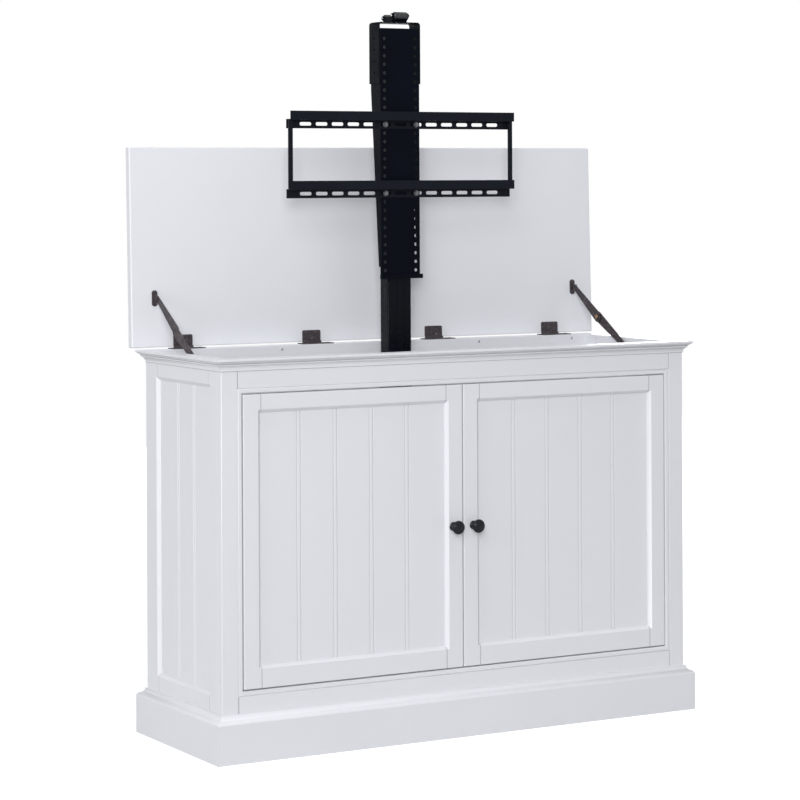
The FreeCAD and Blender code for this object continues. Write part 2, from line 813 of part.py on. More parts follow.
# ---------------------------------------------------------------- doors
door_out = door_open_x - door_gap
door_mid = door_gap / 2
door_low = door_open_bottom + door_gap
door_high = door_open_top - door_gap
panel_low = door_low + door_foot_rail
panel_high = door_high - door_top_rail
door_back_y = front_y + door_t
door_hinge_levels = (door_low + door_hinge_in, door_high - door_hinge_in)
CUP_SIDES = 12
for name, sign in (("left", -1), ("right", 1)):
    frame = new_body("door_frame_" + name)
    sketch = new_sketch(frame, "XZ", -front_y)
    rectangle(sketch, door_mid * sign, door_out * sign, door_low, door_high)
    pad(frame, sketch, door_t, reverse=True)
    doc.recompute()
    chamfer(frame, edges_where(frame.Shape, lambda p: close(p.y, front_y)), door_round)
    sketch = new_sketch(frame, "XZ", -front_y)
    open_a = (door_mid + door_stile) * sign
    open_b = (door_out - door_stile) * sign
    rectangle(sketch, open_a, open_b, panel_low, panel_high)
    pocket(frame, sketch)
    doc.recompute()

    def on_face(point):
        side_a = min(open_a.value, open_b.value) - 0.01
        side_b = max(open_a.value, open_b.value) + 0.01
        inside = side_a < point.x < side_b
        level = panel_low.value - 0.01 < point.z < panel_high.value + 0.01
        return close(point.y, front_y) and inside and level
    chamfer(frame, edges_where(frame.Shape, on_face), bevel_w * 0.85, bevel_d)
    sketch = new_sketch(frame, "XZ", -(front_y + door_recess))
    lap_a = open_a - panel_lap * sign
    lap_b = open_b + panel_lap * sign
    rectangle(sketch, lap_a, lap_b, panel_low - panel_lap, panel_high + panel_lap)
    pocket(frame, sketch, door_t, reverse=False)
    # Bores for the hinge cups, from the back.
    sketch = new_sketch(frame, "XZ", -door_back_y)
    for level in door_hinge_levels:
        many_sided(sketch, (door_out - hinge_cup_in) * sign, level, hinge_cup_r, CUP_SIDES)
    pocket(frame, sketch, hinge_cup_d + hinge_cup_play, reverse=True)
    # Hole for the knob's stud.
    sketch = new_sketch(frame, "XZ")
    many_sided(sketch, knob_x * sign, knob_z, knob_stud_r, 8)
    pocket(frame, sketch)

    panel = new_body("door_panel_" + name)
    sketch = new_sketch(panel, "XZ", -(front_y + door_recess))
    rectangle(sketch, lap_a, lap_b, panel_low - panel_lap, panel_high + panel_lap)
    pad(panel, sketch, panel_t, reverse=True)
    sketch = new_sketch(panel, "XY")
    face_y = front_y + door_recess
    centre_x = (open_a + open_b) / 2
    first_x = centre_x - door_board * 1.5
    for edge in (-1, 1):
        middle = first_x + (groove_bead / 2 + groove_w / 2) * edge
        outline(sketch, [
            (middle - groove_w * 0.75, face_y - 1),
            (middle + groove_w * 0.75, face_y - 1),
            (middle, face_y + groove_d),
        ])
    groove = pocket(panel, sketch)
    repeat(panel, groove, sketch, "H_Axis", door_board * 3, 4)

    # Turned knob: a rose at its foot, a waisted neck, a rim and a shallow domed face.
    reach = knob_reach.value
    rim_r = knob_r.value
    neck_r = knob_neck_r.value
    rose_r = knob_rose_r.value
    knob_shape = turning([
        (rose_r, 0), (rose_r, 2), (neck_r, 5.6), (neck_r, reach * 0.38), (neck_r + 2.2, reach * 0.5),
        (rim_r - 1.4, reach - 10), (rim_r, reach - 7.4), (rim_r - 0.8, reach - 4.4),
        (rim_r - 3.6, reach - 2), (rim_r - 9, reach - 0.5), (2, reach),
    ], 20)
    stud = faceted((0, 0, 0), (0, 0, 2 - door_t.value), knob_stud_r.value, 8)
    knob = single("knob_" + name, knob_shape.fuse(stud).removeSplitter())
    face_out = FreeCAD.Rotation(FreeCAD.Vector(1, 0, 0), 90)
    put(knob, knob_x * sign, front_y, knob_z, face_out)
doc.recompute()

# Concealed hinges: cups let into the doors, and plates behind the face frame.
cup_sets = {"left": [], "right": []}
plate_shapes = []
for name, sign in (("left", -1), ("right", 1)):
    for place in door_hinge_levels:
        level = place.value
        cup_x = ((door_out - hinge_cup_in) * sign).value
        back = door_back_y.value
        deep = hinge_cup_d.value
        cup_r = (hinge_cup_r - hinge_cup_play).value
        cup = faceted((cup_x, back - deep, level), (0, deep, 0), cup_r, CUP_SIDES)
        well = faceted((cup_x, back - deep * 0.7, level), (0, deep * 0.7, 0), cup_r * 0.62, CUP_SIDES)
        arm_end = ((door_open_x - seat_gap) * sign).value
        half_arm = hinge_arm_w.value / 2
        arm = slab(min(cup_x, arm_end), max(cup_x, arm_end), back, back + hinge_arm_t.value,
                   level - half_arm, level + half_arm)
        cup_sets[name].append(cup.cut(well).fuse(arm).removeSplitter())
        seat_a = (door_open_x * sign).value
        seat_b = ((door_open_x + hinge_plate_w) * sign).value
        seat = (min(seat_a, seat_b), max(seat_a, seat_b))
        wall = frame_back_y.value
        half_plate = hinge_plate_len.value / 2
        plate = slab(seat[0], seat[1], wall, wall + hinge_plate_t.value,
                     level - half_plate, level + half_plate)
        boss = slab(seat[0] + 3, seat[1] - 3, wall, wall + hinge_boss_t.value,
                    level - half_arm, level + half_arm)
        plate_shapes.append(plate.fuse(boss).removeSplitter())
gather("door_hinge_cups_left", cup_sets["left"])
gather("door_hinge_cups_right", cup_sets["right"])
gather("door_hinge_plates", plate_shapes)

# ---------------------------------------------------------------- lid and its hinges
# The lid and its leaves are drawn upright behind the hinge axis, then lean back.
lean_back = FreeCAD.Rotation(FreeCAD.Vector(1, 0, 0), -lid_lean.value)
lid = new_body("lid_panel")
sketch = new_sketch(lid, "YZ")
rectangle(sketch, lid_off, lid_off + lid_t, lid_rise, lid_rise + lid_len)
pad(lid, sketch, lid_w, middle=True)
doc.recompute()
chamfer(lid, ["Edge" + str(number + 1) for number in range(12)], lid_round)
put(lid, 0, lid_axis_y, lid_axis_z, lean_back)


def turned_with_lid(shape):
    """Carry a shape drawn at the hinge axis to its place on the leaning lid."""
    shape.Placement = FreeCAD.Placement(
        FreeCAD.Vector(0, lid_axis_y.value, lid_axis_z.value), lean_back)
    return shape


knuckle = (lid_leaf_w / 3).value
play = knuckle_play.value
barrel = barrel_r.value
bore = (hinge_pin_r + hinge_pin_play).value
off = lid_off.value
sheet_metal = leaf_t.value
lid_leaves = []
rail_leaves = []
pins = []
for step in range(4):
    centre = (hinge_pitch * (step - 1.5)).value
    half_leaf = lid_leaf_w.value / 2
    # Leaf on the lid, carrying the middle knuckle.
    leaf = slab(centre - half_leaf, centre + half_leaf, off - sheet_metal, off, barrel, lid_leaf_len.value)
    far = [edge for edge in leaf.Edges if all(vertex.Z > barrel + 1 for vertex in edge.Vertexes)]
    corner_edges = [edge for edge in far if abs(edge.Vertexes[0].Y - edge.Vertexes[1].Y) > 1]
    leaf = leaf.makeChamfer(leaf_corner.value, corner_edges)
    x0 = centre - knuckle / 2 + play
    x1 = centre + knuckle / 2 - play
    roll = faceted((x0, 0, 0), (x1 - x0, 0, 0), barrel)
    neck = prism([(off - sheet_metal, 0), (barrel, 0), (off, barrel), (off - sheet_metal, barrel)], x0, x1)
    leaf = leaf.fuse([roll, neck])
    leaf = leaf.cut(faceted((centre - half_leaf, 0, 0), (half_leaf * 2, 0, 0), bore, 8))
    lid_leaves.append(turned_with_lid(leaf.removeSplitter()))
    # Leaf on the rail, carrying the two outer knuckles.
    axis_y = lid_axis_y.value
    axis_z = lid_axis_z.value
    top = body_top.value
    back = axis_y - barrel - 0.4
    half_plate = rail_leaf_w.value / 2
    plate = slab(centre - half_plate, centre + half_plate, back - rail_leaf_len.value, back,
                 top, top + sheet_metal)
    ends = [edge for edge in plate.Edges if abs(edge.Vertexes[0].Z - edge.Vertexes[1].Z) > 1]
    plate = plate.makeChamfer(leaf_corner.value, ends)
    for place in (-1, 1):
        x0 = centre + place * knuckle - knuckle / 2 + play
        x1 = centre + place * knuckle + knuckle / 2 - play
        roll = faceted((x0, axis_y, axis_z), (x1 - x0, 0, 0), barrel)
        strap = prism([(back - 1.6, top), (back + 1.6, top), (axis_y, axis_z), (back + 1.2, axis_z),
                       (back - 1.6, top + sheet_metal)], x0, x1)
        plate = plate.fuse([roll, strap])
    plate = plate.cut(faceted((centre - half_leaf, axis_y, axis_z), (half_leaf * 2, 0, 0), bore, 8))
    rail_leaves.append(plate.removeSplitter())
    pins.append(rod(centre - half_leaf - 1, centre + half_leaf + 1, axis_y, axis_z, hinge_pin_r.value))
gather("hinge_lid_leaves", lid_leaves)
gather("hinge_rail_leaves", rail_leaves)
gather("hinge_pins", pins)

# Screws along the hinge rail, with their heads on its inner face.
screws = []
screw_pitch = ((inner_x - rail_screw_in) / 2).value
for step in range(5):
    x = (step - 2) * screw_pitch
    face = hinge_rail_y.value
    level = (body_top - rail_screw_down).value
    screws.append(faceted((x, face - 1.2, level), (0, 1.2, 0), rail_screw_r.value, 10))
gather("hinge_rail_screws", screws)

# ---------------------------------------------------------------- lid stays
# Each stay folds at its knee: an upper arm from the lid, and a lower arm whose
# slotted foot runs on a stud of the plate on the cabinet's side.
lean = math.radians(lid_lean.value)
pivot_out = (lid_off - stay_pivot_off).value
pivot_y = lid_axis_y.value + pivot_out * math.cos(lean) + stay_pivot_up.value * math.sin(lean)
pivot_z = lid_axis_z.value - pivot_out * math.sin(lean) + stay_pivot_up.value * math.cos(lean)
knee = (stay_knee_y.value, stay_knee_z.value)
foot = (stay_foot_y.value, stay_foot_z.value)
pivot = (pivot_y, pivot_z)


def arm_shape(a, radius_a, b, radius_b, x0, x1):
    """Flat tapered arm with round ends, in the plane of Y and Z."""
    dy = b[0] - a[0]
    dz = b[1] - a[1]
    length = math.hypot(dy, dz)
    tilt = math.acos((radius_a - radius_b) / length)
    along = math.atan2(dz, dy)
    tangents = []
    for sign in (1, -1):
        angle = along + sign * tilt
        tangents.append((
            FreeCAD.Vector(x0, a[0] + radius_a * math.cos(angle), a[1] + radius_a * math.sin(angle)),
            FreeCAD.Vector(x0, b[0] + radius_b * math.cos(angle), b[1] + radius_b * math.sin(angle))))
    back = FreeCAD.Vector(x0, a[0] - radius_a * math.cos(along), a[1] - radius_a * math.sin(along))
    tip = FreeCAD.Vector(x0, b[0] + radius_b * math.cos(along), b[1] + radius_b * math.sin(along))
    edges = [
        Part.Arc(tangents[0][0], back, tangents[1][0]).toShape(),
        Part.LineSegment(tangents[1][0], tangents[1][1]).toShape(),
        Part.Arc(tangents[1][1], tip, tangents[0][1]).toShape(),
        Part.LineSegment(tangents[0][1], tangents[0][0]).toShape(),
    ]
    return Part.Face(Part.Wire(edges)).extrude(FreeCAD.Vector(x1 - x0, 0, 0))


lid_plates = []
side_plates = []
pin_r = stay_pin_r.value
gap = stay_gap.value
arm_t = stay_t.value
for name, sign in (("left", -1), ("right", 1)):
    # Upper arms lie nearest the middle, lower arms and lugs next to them.
    upper_x = (stay_x.value - arm_t, stay_x.value)
    lower_x = (stay_x.value + gap, stay_x.value + gap + arm_t)
    wall_x = inner_x.value

    upper = arm_shape(knee, stay_knee_r.value, pivot, stay_tip_r.value, upper_x[0], upper_x[1])
    # The knee's rivet is fixed in the upper arm and turns in the lower one.
    rivet = rod(upper_x[0], lower_x[1] + 1.2, knee[0], knee[1], pin_r)
    rivet_head = faceted((upper_x[0] - 2.4, knee[0], knee[1]), (2.4, 0, 0), pin_r * 1.8)
    eye = faceted((upper_x[0], pivot[0], pivot[1]), (arm_t, 0, 0), pin_r + gap)
    upper = upper.cut(eye).fuse([rivet, rivet_head]).removeSplitter()

    lower = arm_shape(knee, stay_knee_r.value, foot, stay_tip_r.value, lower_x[0], lower_x[1])
    lower = lower.cut(faceted((lower_x[0], knee[0], knee[1]), (arm_t, 0, 0), pin_r + gap))
    run_y = foot[0] - knee[0]
    run_z = foot[1] - knee[1]
    run = math.hypot(run_y, run_z)
    slot_a = (foot[0] - run_y / run * stay_slot.value, foot[1] - run_z / run * stay_slot.value)
    slot_r = pin_r + stay_slot_play.value
    groove = arm_shape(slot_a, slot_r + 0.01, foot, slot_r, lower_x[0] - 1, lower_x[1] + 1)
    lower = lower.cut(groove).removeSplitter()

    # Plate on the lid with its lug, drawn in the lid's own upright frame.
    plate_half = stay_plate_w.value / 2
    plate_long = stay_plate_len.value / 2
    plate_t = stay_plate_t.value
    corner = stay_plate_corner.value
    up = stay_pivot_up.value
    plate_face = lid_off.value - plate_t
    plate = slab(stay_x.value - plate_half, stay_x.value + plate_half, plate_face, lid_off.value,
                 up - plate_long, up + plate_long)
    ends = [edge for edge in plate.Edges if abs(edge.Vertexes[0].Y - edge.Vertexes[1].Y) > 1]
    plate = plate.makeChamfer(corner, ends)
    lug_y = (lid_off - stay_pivot_off).value
    lug_half = stay_lug_w.value / 2
    lug_tip = lug_y - lug_half
    lug = prism([
        (plate_face + 0.5, up - lug_half - 1.5), (lug_y + 2, up - lug_half), (lug_tip + 2.5, up - lug_half),
        (lug_tip, up - lug_half + 3), (lug_tip, up + lug_half - 3), (lug_tip + 2.5, up + lug_half),
        (lug_y + 2, up + lug_half), (plate_face + 0.5, up + lug_half + 1.5),
    ], lower_x[0], lower_x[1])
    pin = rod(upper_x[0] - 1.8, lower_x[1], lug_y, up, pin_r)
    plate = plate.fuse([lug, pin]).removeSplitter()

    # Plate on the side wall with the stud for the slotted foot.
    wall_plate = slab(wall_x - plate_t, wall_x, foot[0] - plate_half, foot[0] + plate_half,
                      foot[1] - plate_long, foot[1] + plate_long)
    ends = [edge for edge in wall_plate.Edges if abs(edge.Vertexes[0].X - edge.Vertexes[1].X) > 1]
    wall_plate = wall_plate.makeChamfer(corner, ends)
    stud = rod(lower_x[0] - 1.4, wall_x - 0.5, foot[0], foot[1], pin_r)
    collar_x = lower_x[1] + gap
    collar = faceted((collar_x, foot[0], foot[1]), (wall_x - 0.5 - collar_x, 0, 0), pin_r + 2.2)
    wall_plate = wall_plate.fuse([stud, collar]).removeSplitter()

    plate = turned_with_lid(plate)
    shapes = [upper, lower, plate, wall_plate]
    if sign < 0:
        shapes = [shape.mirror(FreeCAD.Vector(0, 0, 0), FreeCAD.Vector(1, 0, 0)) for shape in shapes]
    for label, shape in (("stay_upper_arm_" + name, shapes[0]), ("stay_lower_arm_" + name, shapes[1])):
        single(label, shape)
    lid_plates.append(shapes[2])
    side_plates.append(shapes[3])
gather("stay_lid_plates", lid_plates)
gather("stay_side_plates", side_plates)

# ---------------------------------------------------------------- lift column
block("lift_base_plate", -base_w / 2, base_w / 2, column_y - base_d / 2, column_y + base_d / 2,
      floor_top, floor_top + base_t)


def tube(label, width, depth, low, high):
    """Rectangular tube with rounded corners, standing upright."""
    body = new_body(label)
    x = width / 2
    y0 = column_y - depth / 2
    y1 = column_y + depth / 2
    r = tube_round
    sketch = new_sketch(body, "XY", low)
    outline(sketch, [
        (r - x, y0), (x - r, y0, r), (x, y0 + r), (x, y1 - r, r),
        (x - r, y1), (r - x, y1, r), (-x, y1 - r), (-x, y0 + r, r),
    ])
    pad(body, sketch, high - low)
    sketch = new_sketch(body, "XY", low)
    rectangle(sketch, tube_wall - x, x - tube_wall, y0 + tube_wall, y1 - tube_wall)
    pocket(body, sketch)
    return body


def plug(body, low, holes):
    """Close a tube's lower end with a plate that lets the lead screws through."""
    width = tube_w if body.Label == "lift_tube_middle" else inner_w
    depth = tube_d if body.Label == "lift_tube_middle" else inner_d
    sketch = new_sketch(body, "XY", low)
    x = width / 2 - tube_wall
    y = depth / 2 - tube_wall
    rectangle(sketch, -x, x, column_y - y, column_y + y)
    pad(body, sketch, plug_t)
    sketch = new_sketch(body, "XY", low)
    for x in holes:
        many_sided(sketch, x, column_y, screw_r + tube_play, 12)
    pocket(body, sketch)


tube("lift_tube_outer", outer_w, outer_d, outer_bottom, outer_top)
middle_tube = tube("lift_tube_middle", tube_w, tube_d, middle_bottom, middle_bottom + middle_len)
plug(middle_tube, middle_bottom, [-screw_x])
# Two shallow grooves run down the middle tube's face.
sketch = new_sketch(middle_tube, "XY", middle_bottom)
for place in (-tube_groove_x, tube_groove_x):
    half = tube_groove_w / 2
    rectangle(sketch, place - half, place + half, tube_face_y - 1, tube_face_y + tube_groove_d)
pocket(middle_tube, sketch)
inner_tube = tube("lift_tube_inner", inner_w, inner_d, inner_bottom, head_bottom)
plug(inner_tube, inner_bottom, [-screw_x, screw_x])
# The head plate is welded on the inner tube and carries the channel.
sketch = new_sketch(inner_tube, "XY", head_bottom)
head_x = channel_w / 2 - channel_t
rectangle(sketch, -head_x, head_x, channel_face_y + channel_t, column_y + tube_d / 2)
pad(inner_tube, sketch, head_t)

for label, x, low, high in (
        ("lift_screw_lower", -screw_x, outer_bottom, outer_top - screw_short),
        ("lift_screw_upper", screw_x, middle_bottom + plug_t, middle_bottom + middle_len - screw_short)):
    screw = new_body(label)
    sketch = new_sketch(screw, "XY", low)
    many_sided(sketch, x, column_y, screw_r, 12)
    pad(screw, sketch, high - low)

# Geared motor beside the column's foot, and the control box on the floor.
motor = new_body("lift_motor")
sketch = new_sketch(motor, "XY", outer_bottom)
gear_side = column_y - gear_d / 2
rectangle(sketch, gear_x, gear_x + gear_len, gear_side, gear_side + gear_d)
pad(motor, sketch, gear_h)
sketch = new_sketch(motor, "XY", outer_bottom + gear_h)
circle(sketch, gear_x + gear_len - motor_r - motor_edge, column_y, motor_r)
pad(motor, sketch, motor_top - outer_bottom - gear_h)
doc.recompute()
upright = []
for number, edge in enumerate(motor.Shape.Edges, 1):
    tips = [vertex.Point for vertex in edge.Vertexes]
    tall = len(tips) == 2 and abs(tips[0].z - tips[1].z) > 1
    if tall and max(tip.z for tip in tips) < (outer_bottom + gear_h).value + 0.1:
        upright.append("Edge" + str(number))
chamfer(motor, upright, motor_edge)

control_x = base_w / 2 + control_gap
control = block("lift_control_box", control_x, control_x + control_w,
                column_y, column_y + control_d, floor_top, floor_top + control_h)
doc.recompute()
top_edges = edges_where(control.Shape, lambda p: close(p.z, floor_top + control_h))
chamfer(control, top_edges, motor_edge)

# Bracket that ties the upper part of the fixed tube to the back of the cabinet.
wall_bracket = new_body("lift_wall_bracket")
sketch = new_sketch(wall_bracket, "XY", outer_bottom + wall_bracket_up)
tube_back = column_y + outer_d / 2
wall_y = half_d - back_t
bt = wall_bracket_t
near_x = outer_w / 2
arm_x = near_x + wall_bracket_spread
foot_x = arm_x + wall_bracket_foot
outline(sketch, [
    (-near_x, tube_back), (near_x, tube_back), (arm_x, wall_y - bt), (foot_x, wall_y - bt),
    (foot_x, wall_y), (arm_x - bt, wall_y), (near_x - bt, tube_back + bt), (bt - near_x, tube_back + bt),
    (bt - arm_x, wall_y), (-foot_x, wall_y), (-foot_x, wall_y - bt), (-arm_x, wall_y - bt),
])
pad(wall_bracket, sketch, wall_bracket_h)

# ---------------------------------------------------------------- carriage
channel = new_body("carriage_channel")
sketch = new_sketch(channel, "XY", channel_bottom)
cx = channel_w / 2
ct = channel_t
fy = channel_face_y
bend = channel_t * 0.8
outline(sketch, [
    (bend - cx, fy), (cx - bend, fy, bend), (cx, fy + bend), (cx, fy + flange_deep),
    (cx - ct, fy + flange_deep), (cx - ct, fy + ct), (ct - cx, fy + ct),
    (ct - cx, fy + flange_deep), (-cx, fy + flange_deep), (-cx, fy + bend, bend),
])
pad(channel, sketch, channel_top - channel_bottom)
# The flanges are deep at the top and taper to a narrow strip near the foot.
sketch = new_sketch(channel, "YZ")
flange_low = channel_bottom + flange_start
flange_full = flange_low + flange_taper
outline(sketch, [
    (fy + ct + 1, channel_bottom - 1), (fy + ct + 1, flange_low), (fy + flange_shallow, flange_low),
    (fy + flange_deep, flange_full), (fy + flange_deep + 5, flange_full),
    (fy + flange_deep + 5, channel_bottom - 1),
])
pocket(channel, sketch)
# A thick lip across the foot of the front plate.
sketch = new_sketch(channel, "XY", channel_bottom)
rectangle(sketch, -cx - foot_over, cx + foot_over, fy - foot_d, fy)
pad(channel, sketch, foot_h)
# Two columns of holes take the television bracket at any height.
sketch = new_sketch(channel, "XZ")
many_sided(sketch, -hole_x, hole_first_z, hole_r, 8)
many_sided(sketch, hole_x, hole_first_z, hole_r, 8)
holes = pocket(channel, sketch)
HOLE_ROWS = 28
repeat(channel, holes, sketch, "V_Axis", hole_pitch * (HOLE_ROWS - 1), HOLE_ROWS)

# Cap: a thin strap bent over the channel's head, open below its top.
cap = new_body("cap_bracket")
cap_x = cx + cap_t + cap_gap
low_z = cap_bottom
sketch = new_sketch(cap, "XZ", -(fy + cap_deep))
outline(sketch, [
    (-cap_x, low_z), (cap_t - cap_x, low_z), (cap_t - cap_x, cap_top - cap_round, -(cap_round - cap_t)),
    (cap_round - cap_x, cap_top - cap_t), (cap_x - cap_round, cap_top - cap_t, -(cap_round - cap_t)),
    (cap_x - cap_t, cap_top - cap_round), (cap_x - cap_t, low_z), (cap_x, low_z),
    (cap_x, cap_top - cap_round, cap_round), (cap_x - cap_round, cap_top),
    (cap_round - cap_x, cap_top, cap_round), (-cap_x, cap_top - cap_round),
])
pad(cap, sketch, cap_deep)
# Adjusting holes in the strap's sides.
sketch = new_sketch(cap, "YZ")
for row in range(4):
    many_sided(sketch, fy + cap_deep / 2, cap_bottom + cap_hole_first + cap_hole_pitch * row, cap_hole_r, 8)
pocket(cap, sketch)

# ---------------------------------------------------------------- lid rollers
# A small fork on the cap holds two rollers that push the lid open.
span_front_y = fy - 1
span_rear_y = span_front_y + roller_span
front_z = cap_top + roller_front_up
rear_z = cap_top + roller_rear_up
fork = new_body("roller_fork")
half_len = roller_len / 2 + roller_play
sketch = new_sketch(fork, "XY", cap_top)
rectangle(sketch, -half_len - cheek_t, half_len + cheek_t, fy + fork_front_in, fy + cap_deep - fork_rear_in)
pad(fork, sketch, cheek_t)
for sign in (-1, 1):
    sketch = new_sketch(fork, "YZ", half_len if sign > 0 else -half_len - cheek_t)
    outline(sketch, [
        (fy + fork_front_in + cheek_inset, cap_top), (fy + cap_deep - fork_rear_in - cheek_inset, cap_top),
        (span_rear_y + cheek_edge, rear_z - 3), (span_rear_y + 4, rear_z + cheek_edge - 1),
        (span_rear_y - 4, rear_z + cheek_edge - 1), (span_front_y + cheek_slope, rear_z + 1),
        (span_front_y + cheek_edge - 1, front_z + cheek_edge),
        (span_front_y - cheek_edge + 1, front_z + cheek_edge),
        (span_front_y - cheek_edge, front_z - cheek_edge + 1),
    ])
    pad(fork, sketch, cheek_t)
# Each axle is a bolt with a hexagonal head at both ends.
for y, z in ((span_front_y, front_z), (span_rear_y, rear_z)):
    sketch = new_sketch(fork, "YZ")
    circle(sketch, y, z, roller_bore - roller_play)
    pad(fork, sketch, (half_len + cheek_t) * 2, middle=True)
    for sign in (-1, 1):
        sketch = new_sketch(fork, "YZ", (half_len + cheek_t) * sign)
        many_sided(sketch, y, z, axle_head_r, 6)
        pad(fork, sketch, axle_head_t, reverse=(sign < 0))
along_x = FreeCAD.Rotation(FreeCAD.Vector(0, 1, 0), 90)
for label, y, z in (("roller_front", span_front_y, front_z), ("roller_rear", span_rear_y, rear_z)):
    half = roller_len.value / 2
    r = roller_r.value
    edge = roller_edge.value
    wheel = turning([(r - edge, -half), (r, edge - half), (r, half - edge), (r - edge, half)], 24)
    wheel = wheel.cut(faceted((0, 0, -half), (0, 0, half * 2), roller_bore.value))
    put(single(label, wheel), 0, y, z, along_x)

# ---------------------------------------------------------------- television bracket
# Each rail is a Z section: slotted web on the channel, flange forward, lip upward.
# The two end slots of each rail are fully round, as a television's bolts use them.
SLOTS = 13
for label, level in (("bracket_rail_upper", upper_rail_z), ("bracket_rail_lower", lower_rail_z)):
    rail = new_body(label)
    sketch = new_sketch(rail, "YZ")
    back = channel_face_y
    low = level - rail_web_low
    top = level + rail_web_high
    outline(sketch, [
        (back, low), (back, top), (back - rail_flange, top), (back - rail_flange, top - rail_t + rail_lip),
        (back - rail_flange - rail_t, top - rail_t + rail_lip),
        (back - rail_flange - rail_t, top - rail_t), (back - rail_t, top - rail_t), (back - rail_t, low),
    ])
    pad(rail, sketch, rail_len, middle=True)
    sketch = new_sketch(rail, "XZ", -channel_face_y)
    end_slot = slot_pitch * ((SLOTS - 1) / 2)
    slot(sketch, -end_slot, level, slot_len, slot_h)
    slot(sketch, end_slot, level, slot_len, slot_h)
    pocket(rail, sketch, rail_t, reverse=True)
    sketch = new_sketch(rail, "XZ", -channel_face_y)
    plain_slot(sketch, slot_pitch - end_slot, level, slot_len, slot_h)
    cut = pocket(rail, sketch, rail_t, reverse=True)
    repeat(rail, cut, sketch, "H_Axis", slot_pitch * (SLOTS - 3), SLOTS - 2)

for name, sign in (("left", -1), ("right", 1)):
    tie = new_body("bracket_tie_" + name)
    sketch = new_sketch(tie, "XY", lower_rail_z + rail_web_high)
    near = rail_len / 2 * sign
    middle = channel_face_y - rail_t - (rail_flange - rail_t) / 2
    rectangle(sketch, near - tie_w * sign, near, middle - tie_t / 2, middle + tie_t / 2)
    pad(tie, sketch, upper_rail_z - lower_rail_z - rail_t)

bolts = []
for level in (lower_rail_z, upper_rail_z):
    for sign in (-1, 1):
        x = hole_x.value * sign
        z = level.value
        face = web_face_y.value
        seat = face - washer_t.value
        tip = channel_face_y.value + channel_t.value
        washer = faceted((x, seat, z), (0, washer_t.value, 0), washer_r.value)
        head = faceted((x, seat - bolt_head_h.value, z), (0, bolt_head_h.value, 0), bolt_head_r.value, 6)
        shank = faceted((x, seat, z), (0, tip - seat, 0), bolt_r.value)
        bolts.append(washer.fuse([head, shank]).removeSplitter())
gather("bracket_bolts", bolts)

# ---------------------------------------------------------------- check and write
doc.recompute()
for item in doc.Objects:
    if "Invalid" in item.State or "Error" in item.State:
        raise RuntimeError("failed feature: " + item.Label + " " + item.Name)
total = 0
for label, item in parts.items():
    shape = item.Shape
    if shape.isNull() or not shape.isValid() or not shape.Solids:
        raise RuntimeError("no valid solid: " + label)
    total += len(shape.Solids)
os.makedirs("parts", exist_ok=True)
for label, item in parts.items():
    item.Shape.exportStep("parts/" + label + ".step")
print(len(parts), "nodes,", total, "solids")
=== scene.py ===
import math

import bmesh
import bpy
from mathutils import Matrix, Vector


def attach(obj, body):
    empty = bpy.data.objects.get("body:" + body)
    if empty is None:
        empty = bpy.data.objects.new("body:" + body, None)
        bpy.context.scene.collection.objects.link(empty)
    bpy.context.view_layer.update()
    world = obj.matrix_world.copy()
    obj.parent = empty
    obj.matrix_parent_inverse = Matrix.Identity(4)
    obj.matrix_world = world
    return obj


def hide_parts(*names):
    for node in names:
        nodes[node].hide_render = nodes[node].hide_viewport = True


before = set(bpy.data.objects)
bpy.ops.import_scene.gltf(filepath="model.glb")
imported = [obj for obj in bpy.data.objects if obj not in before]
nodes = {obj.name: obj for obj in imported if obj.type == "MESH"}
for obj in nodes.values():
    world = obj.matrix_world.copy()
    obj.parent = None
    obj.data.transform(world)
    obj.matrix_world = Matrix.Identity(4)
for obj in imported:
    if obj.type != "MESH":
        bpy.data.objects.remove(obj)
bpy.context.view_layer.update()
scene = bpy.context.scene

# ---------------------------------------------------------------- camera
# Fitted to the photograph. Angles in degrees, the eye in metres, the focal length and horizon in pixels.
IMAGE = 800
YAW = math.radians(29.487)
PITCH = math.radians(-0.059)
ROLL = math.radians(-0.253)
FOCAL_PX = 2708.5
HORIZON_PX = 176.9
EYE = Vector((-3.2609, -5.6754, 1.3060))
SENSOR_MM = 36

ahead = Vector((math.sin(YAW) * math.cos(PITCH), math.cos(YAW) * math.cos(PITCH), -math.sin(PITCH)))
right = Vector((math.cos(YAW), -math.sin(YAW), 0))
up = right.cross(ahead)
right_rolled = right * math.cos(ROLL) + up * math.sin(ROLL)
up_rolled = up * math.cos(ROLL) - right * math.sin(ROLL)
columns = Matrix((right_rolled, up_rolled, -ahead)).transposed()
camera_data = bpy.data.cameras.new("camera")
camera_data.sensor_width = SENSOR_MM
camera_data.lens = FOCAL_PX / IMAGE * SENSOR_MM
camera_data.shift_y = -(IMAGE / 2 - HORIZON_PX) / IMAGE
camera_data.clip_end = 60
camera = bpy.data.objects.new("camera", camera_data)
camera.matrix_world = Matrix.Translation(EYE) @ columns.to_4x4()
scene.collection.objects.link(camera)
scene.camera = camera
scene.view_settings.view_transform = "Standard"

# ---------------------------------------------------------------- material helpers
NOISE_LOW, NOISE_HIGH = 0.3, 0.7  # nearly all of a noise lies between these
WAVE_LENGTH = 0.314  # length of one band of a wave texture at scale 1, in metres


def new_material(name, color, roughness, metallic=0.0):
    """Material with its plain values on the shader's own sockets."""
    material = bpy.data.materials.new(name)
    material.use_nodes = True
    tree = material.node_tree
    shader = tree.nodes["Principled BSDF"]
    shader.inputs["Base Color"].default_value = (*color, 1)
    shader.inputs["Roughness"].default_value = roughness
    shader.inputs["Metallic"].default_value = metallic
    return material, tree, shader


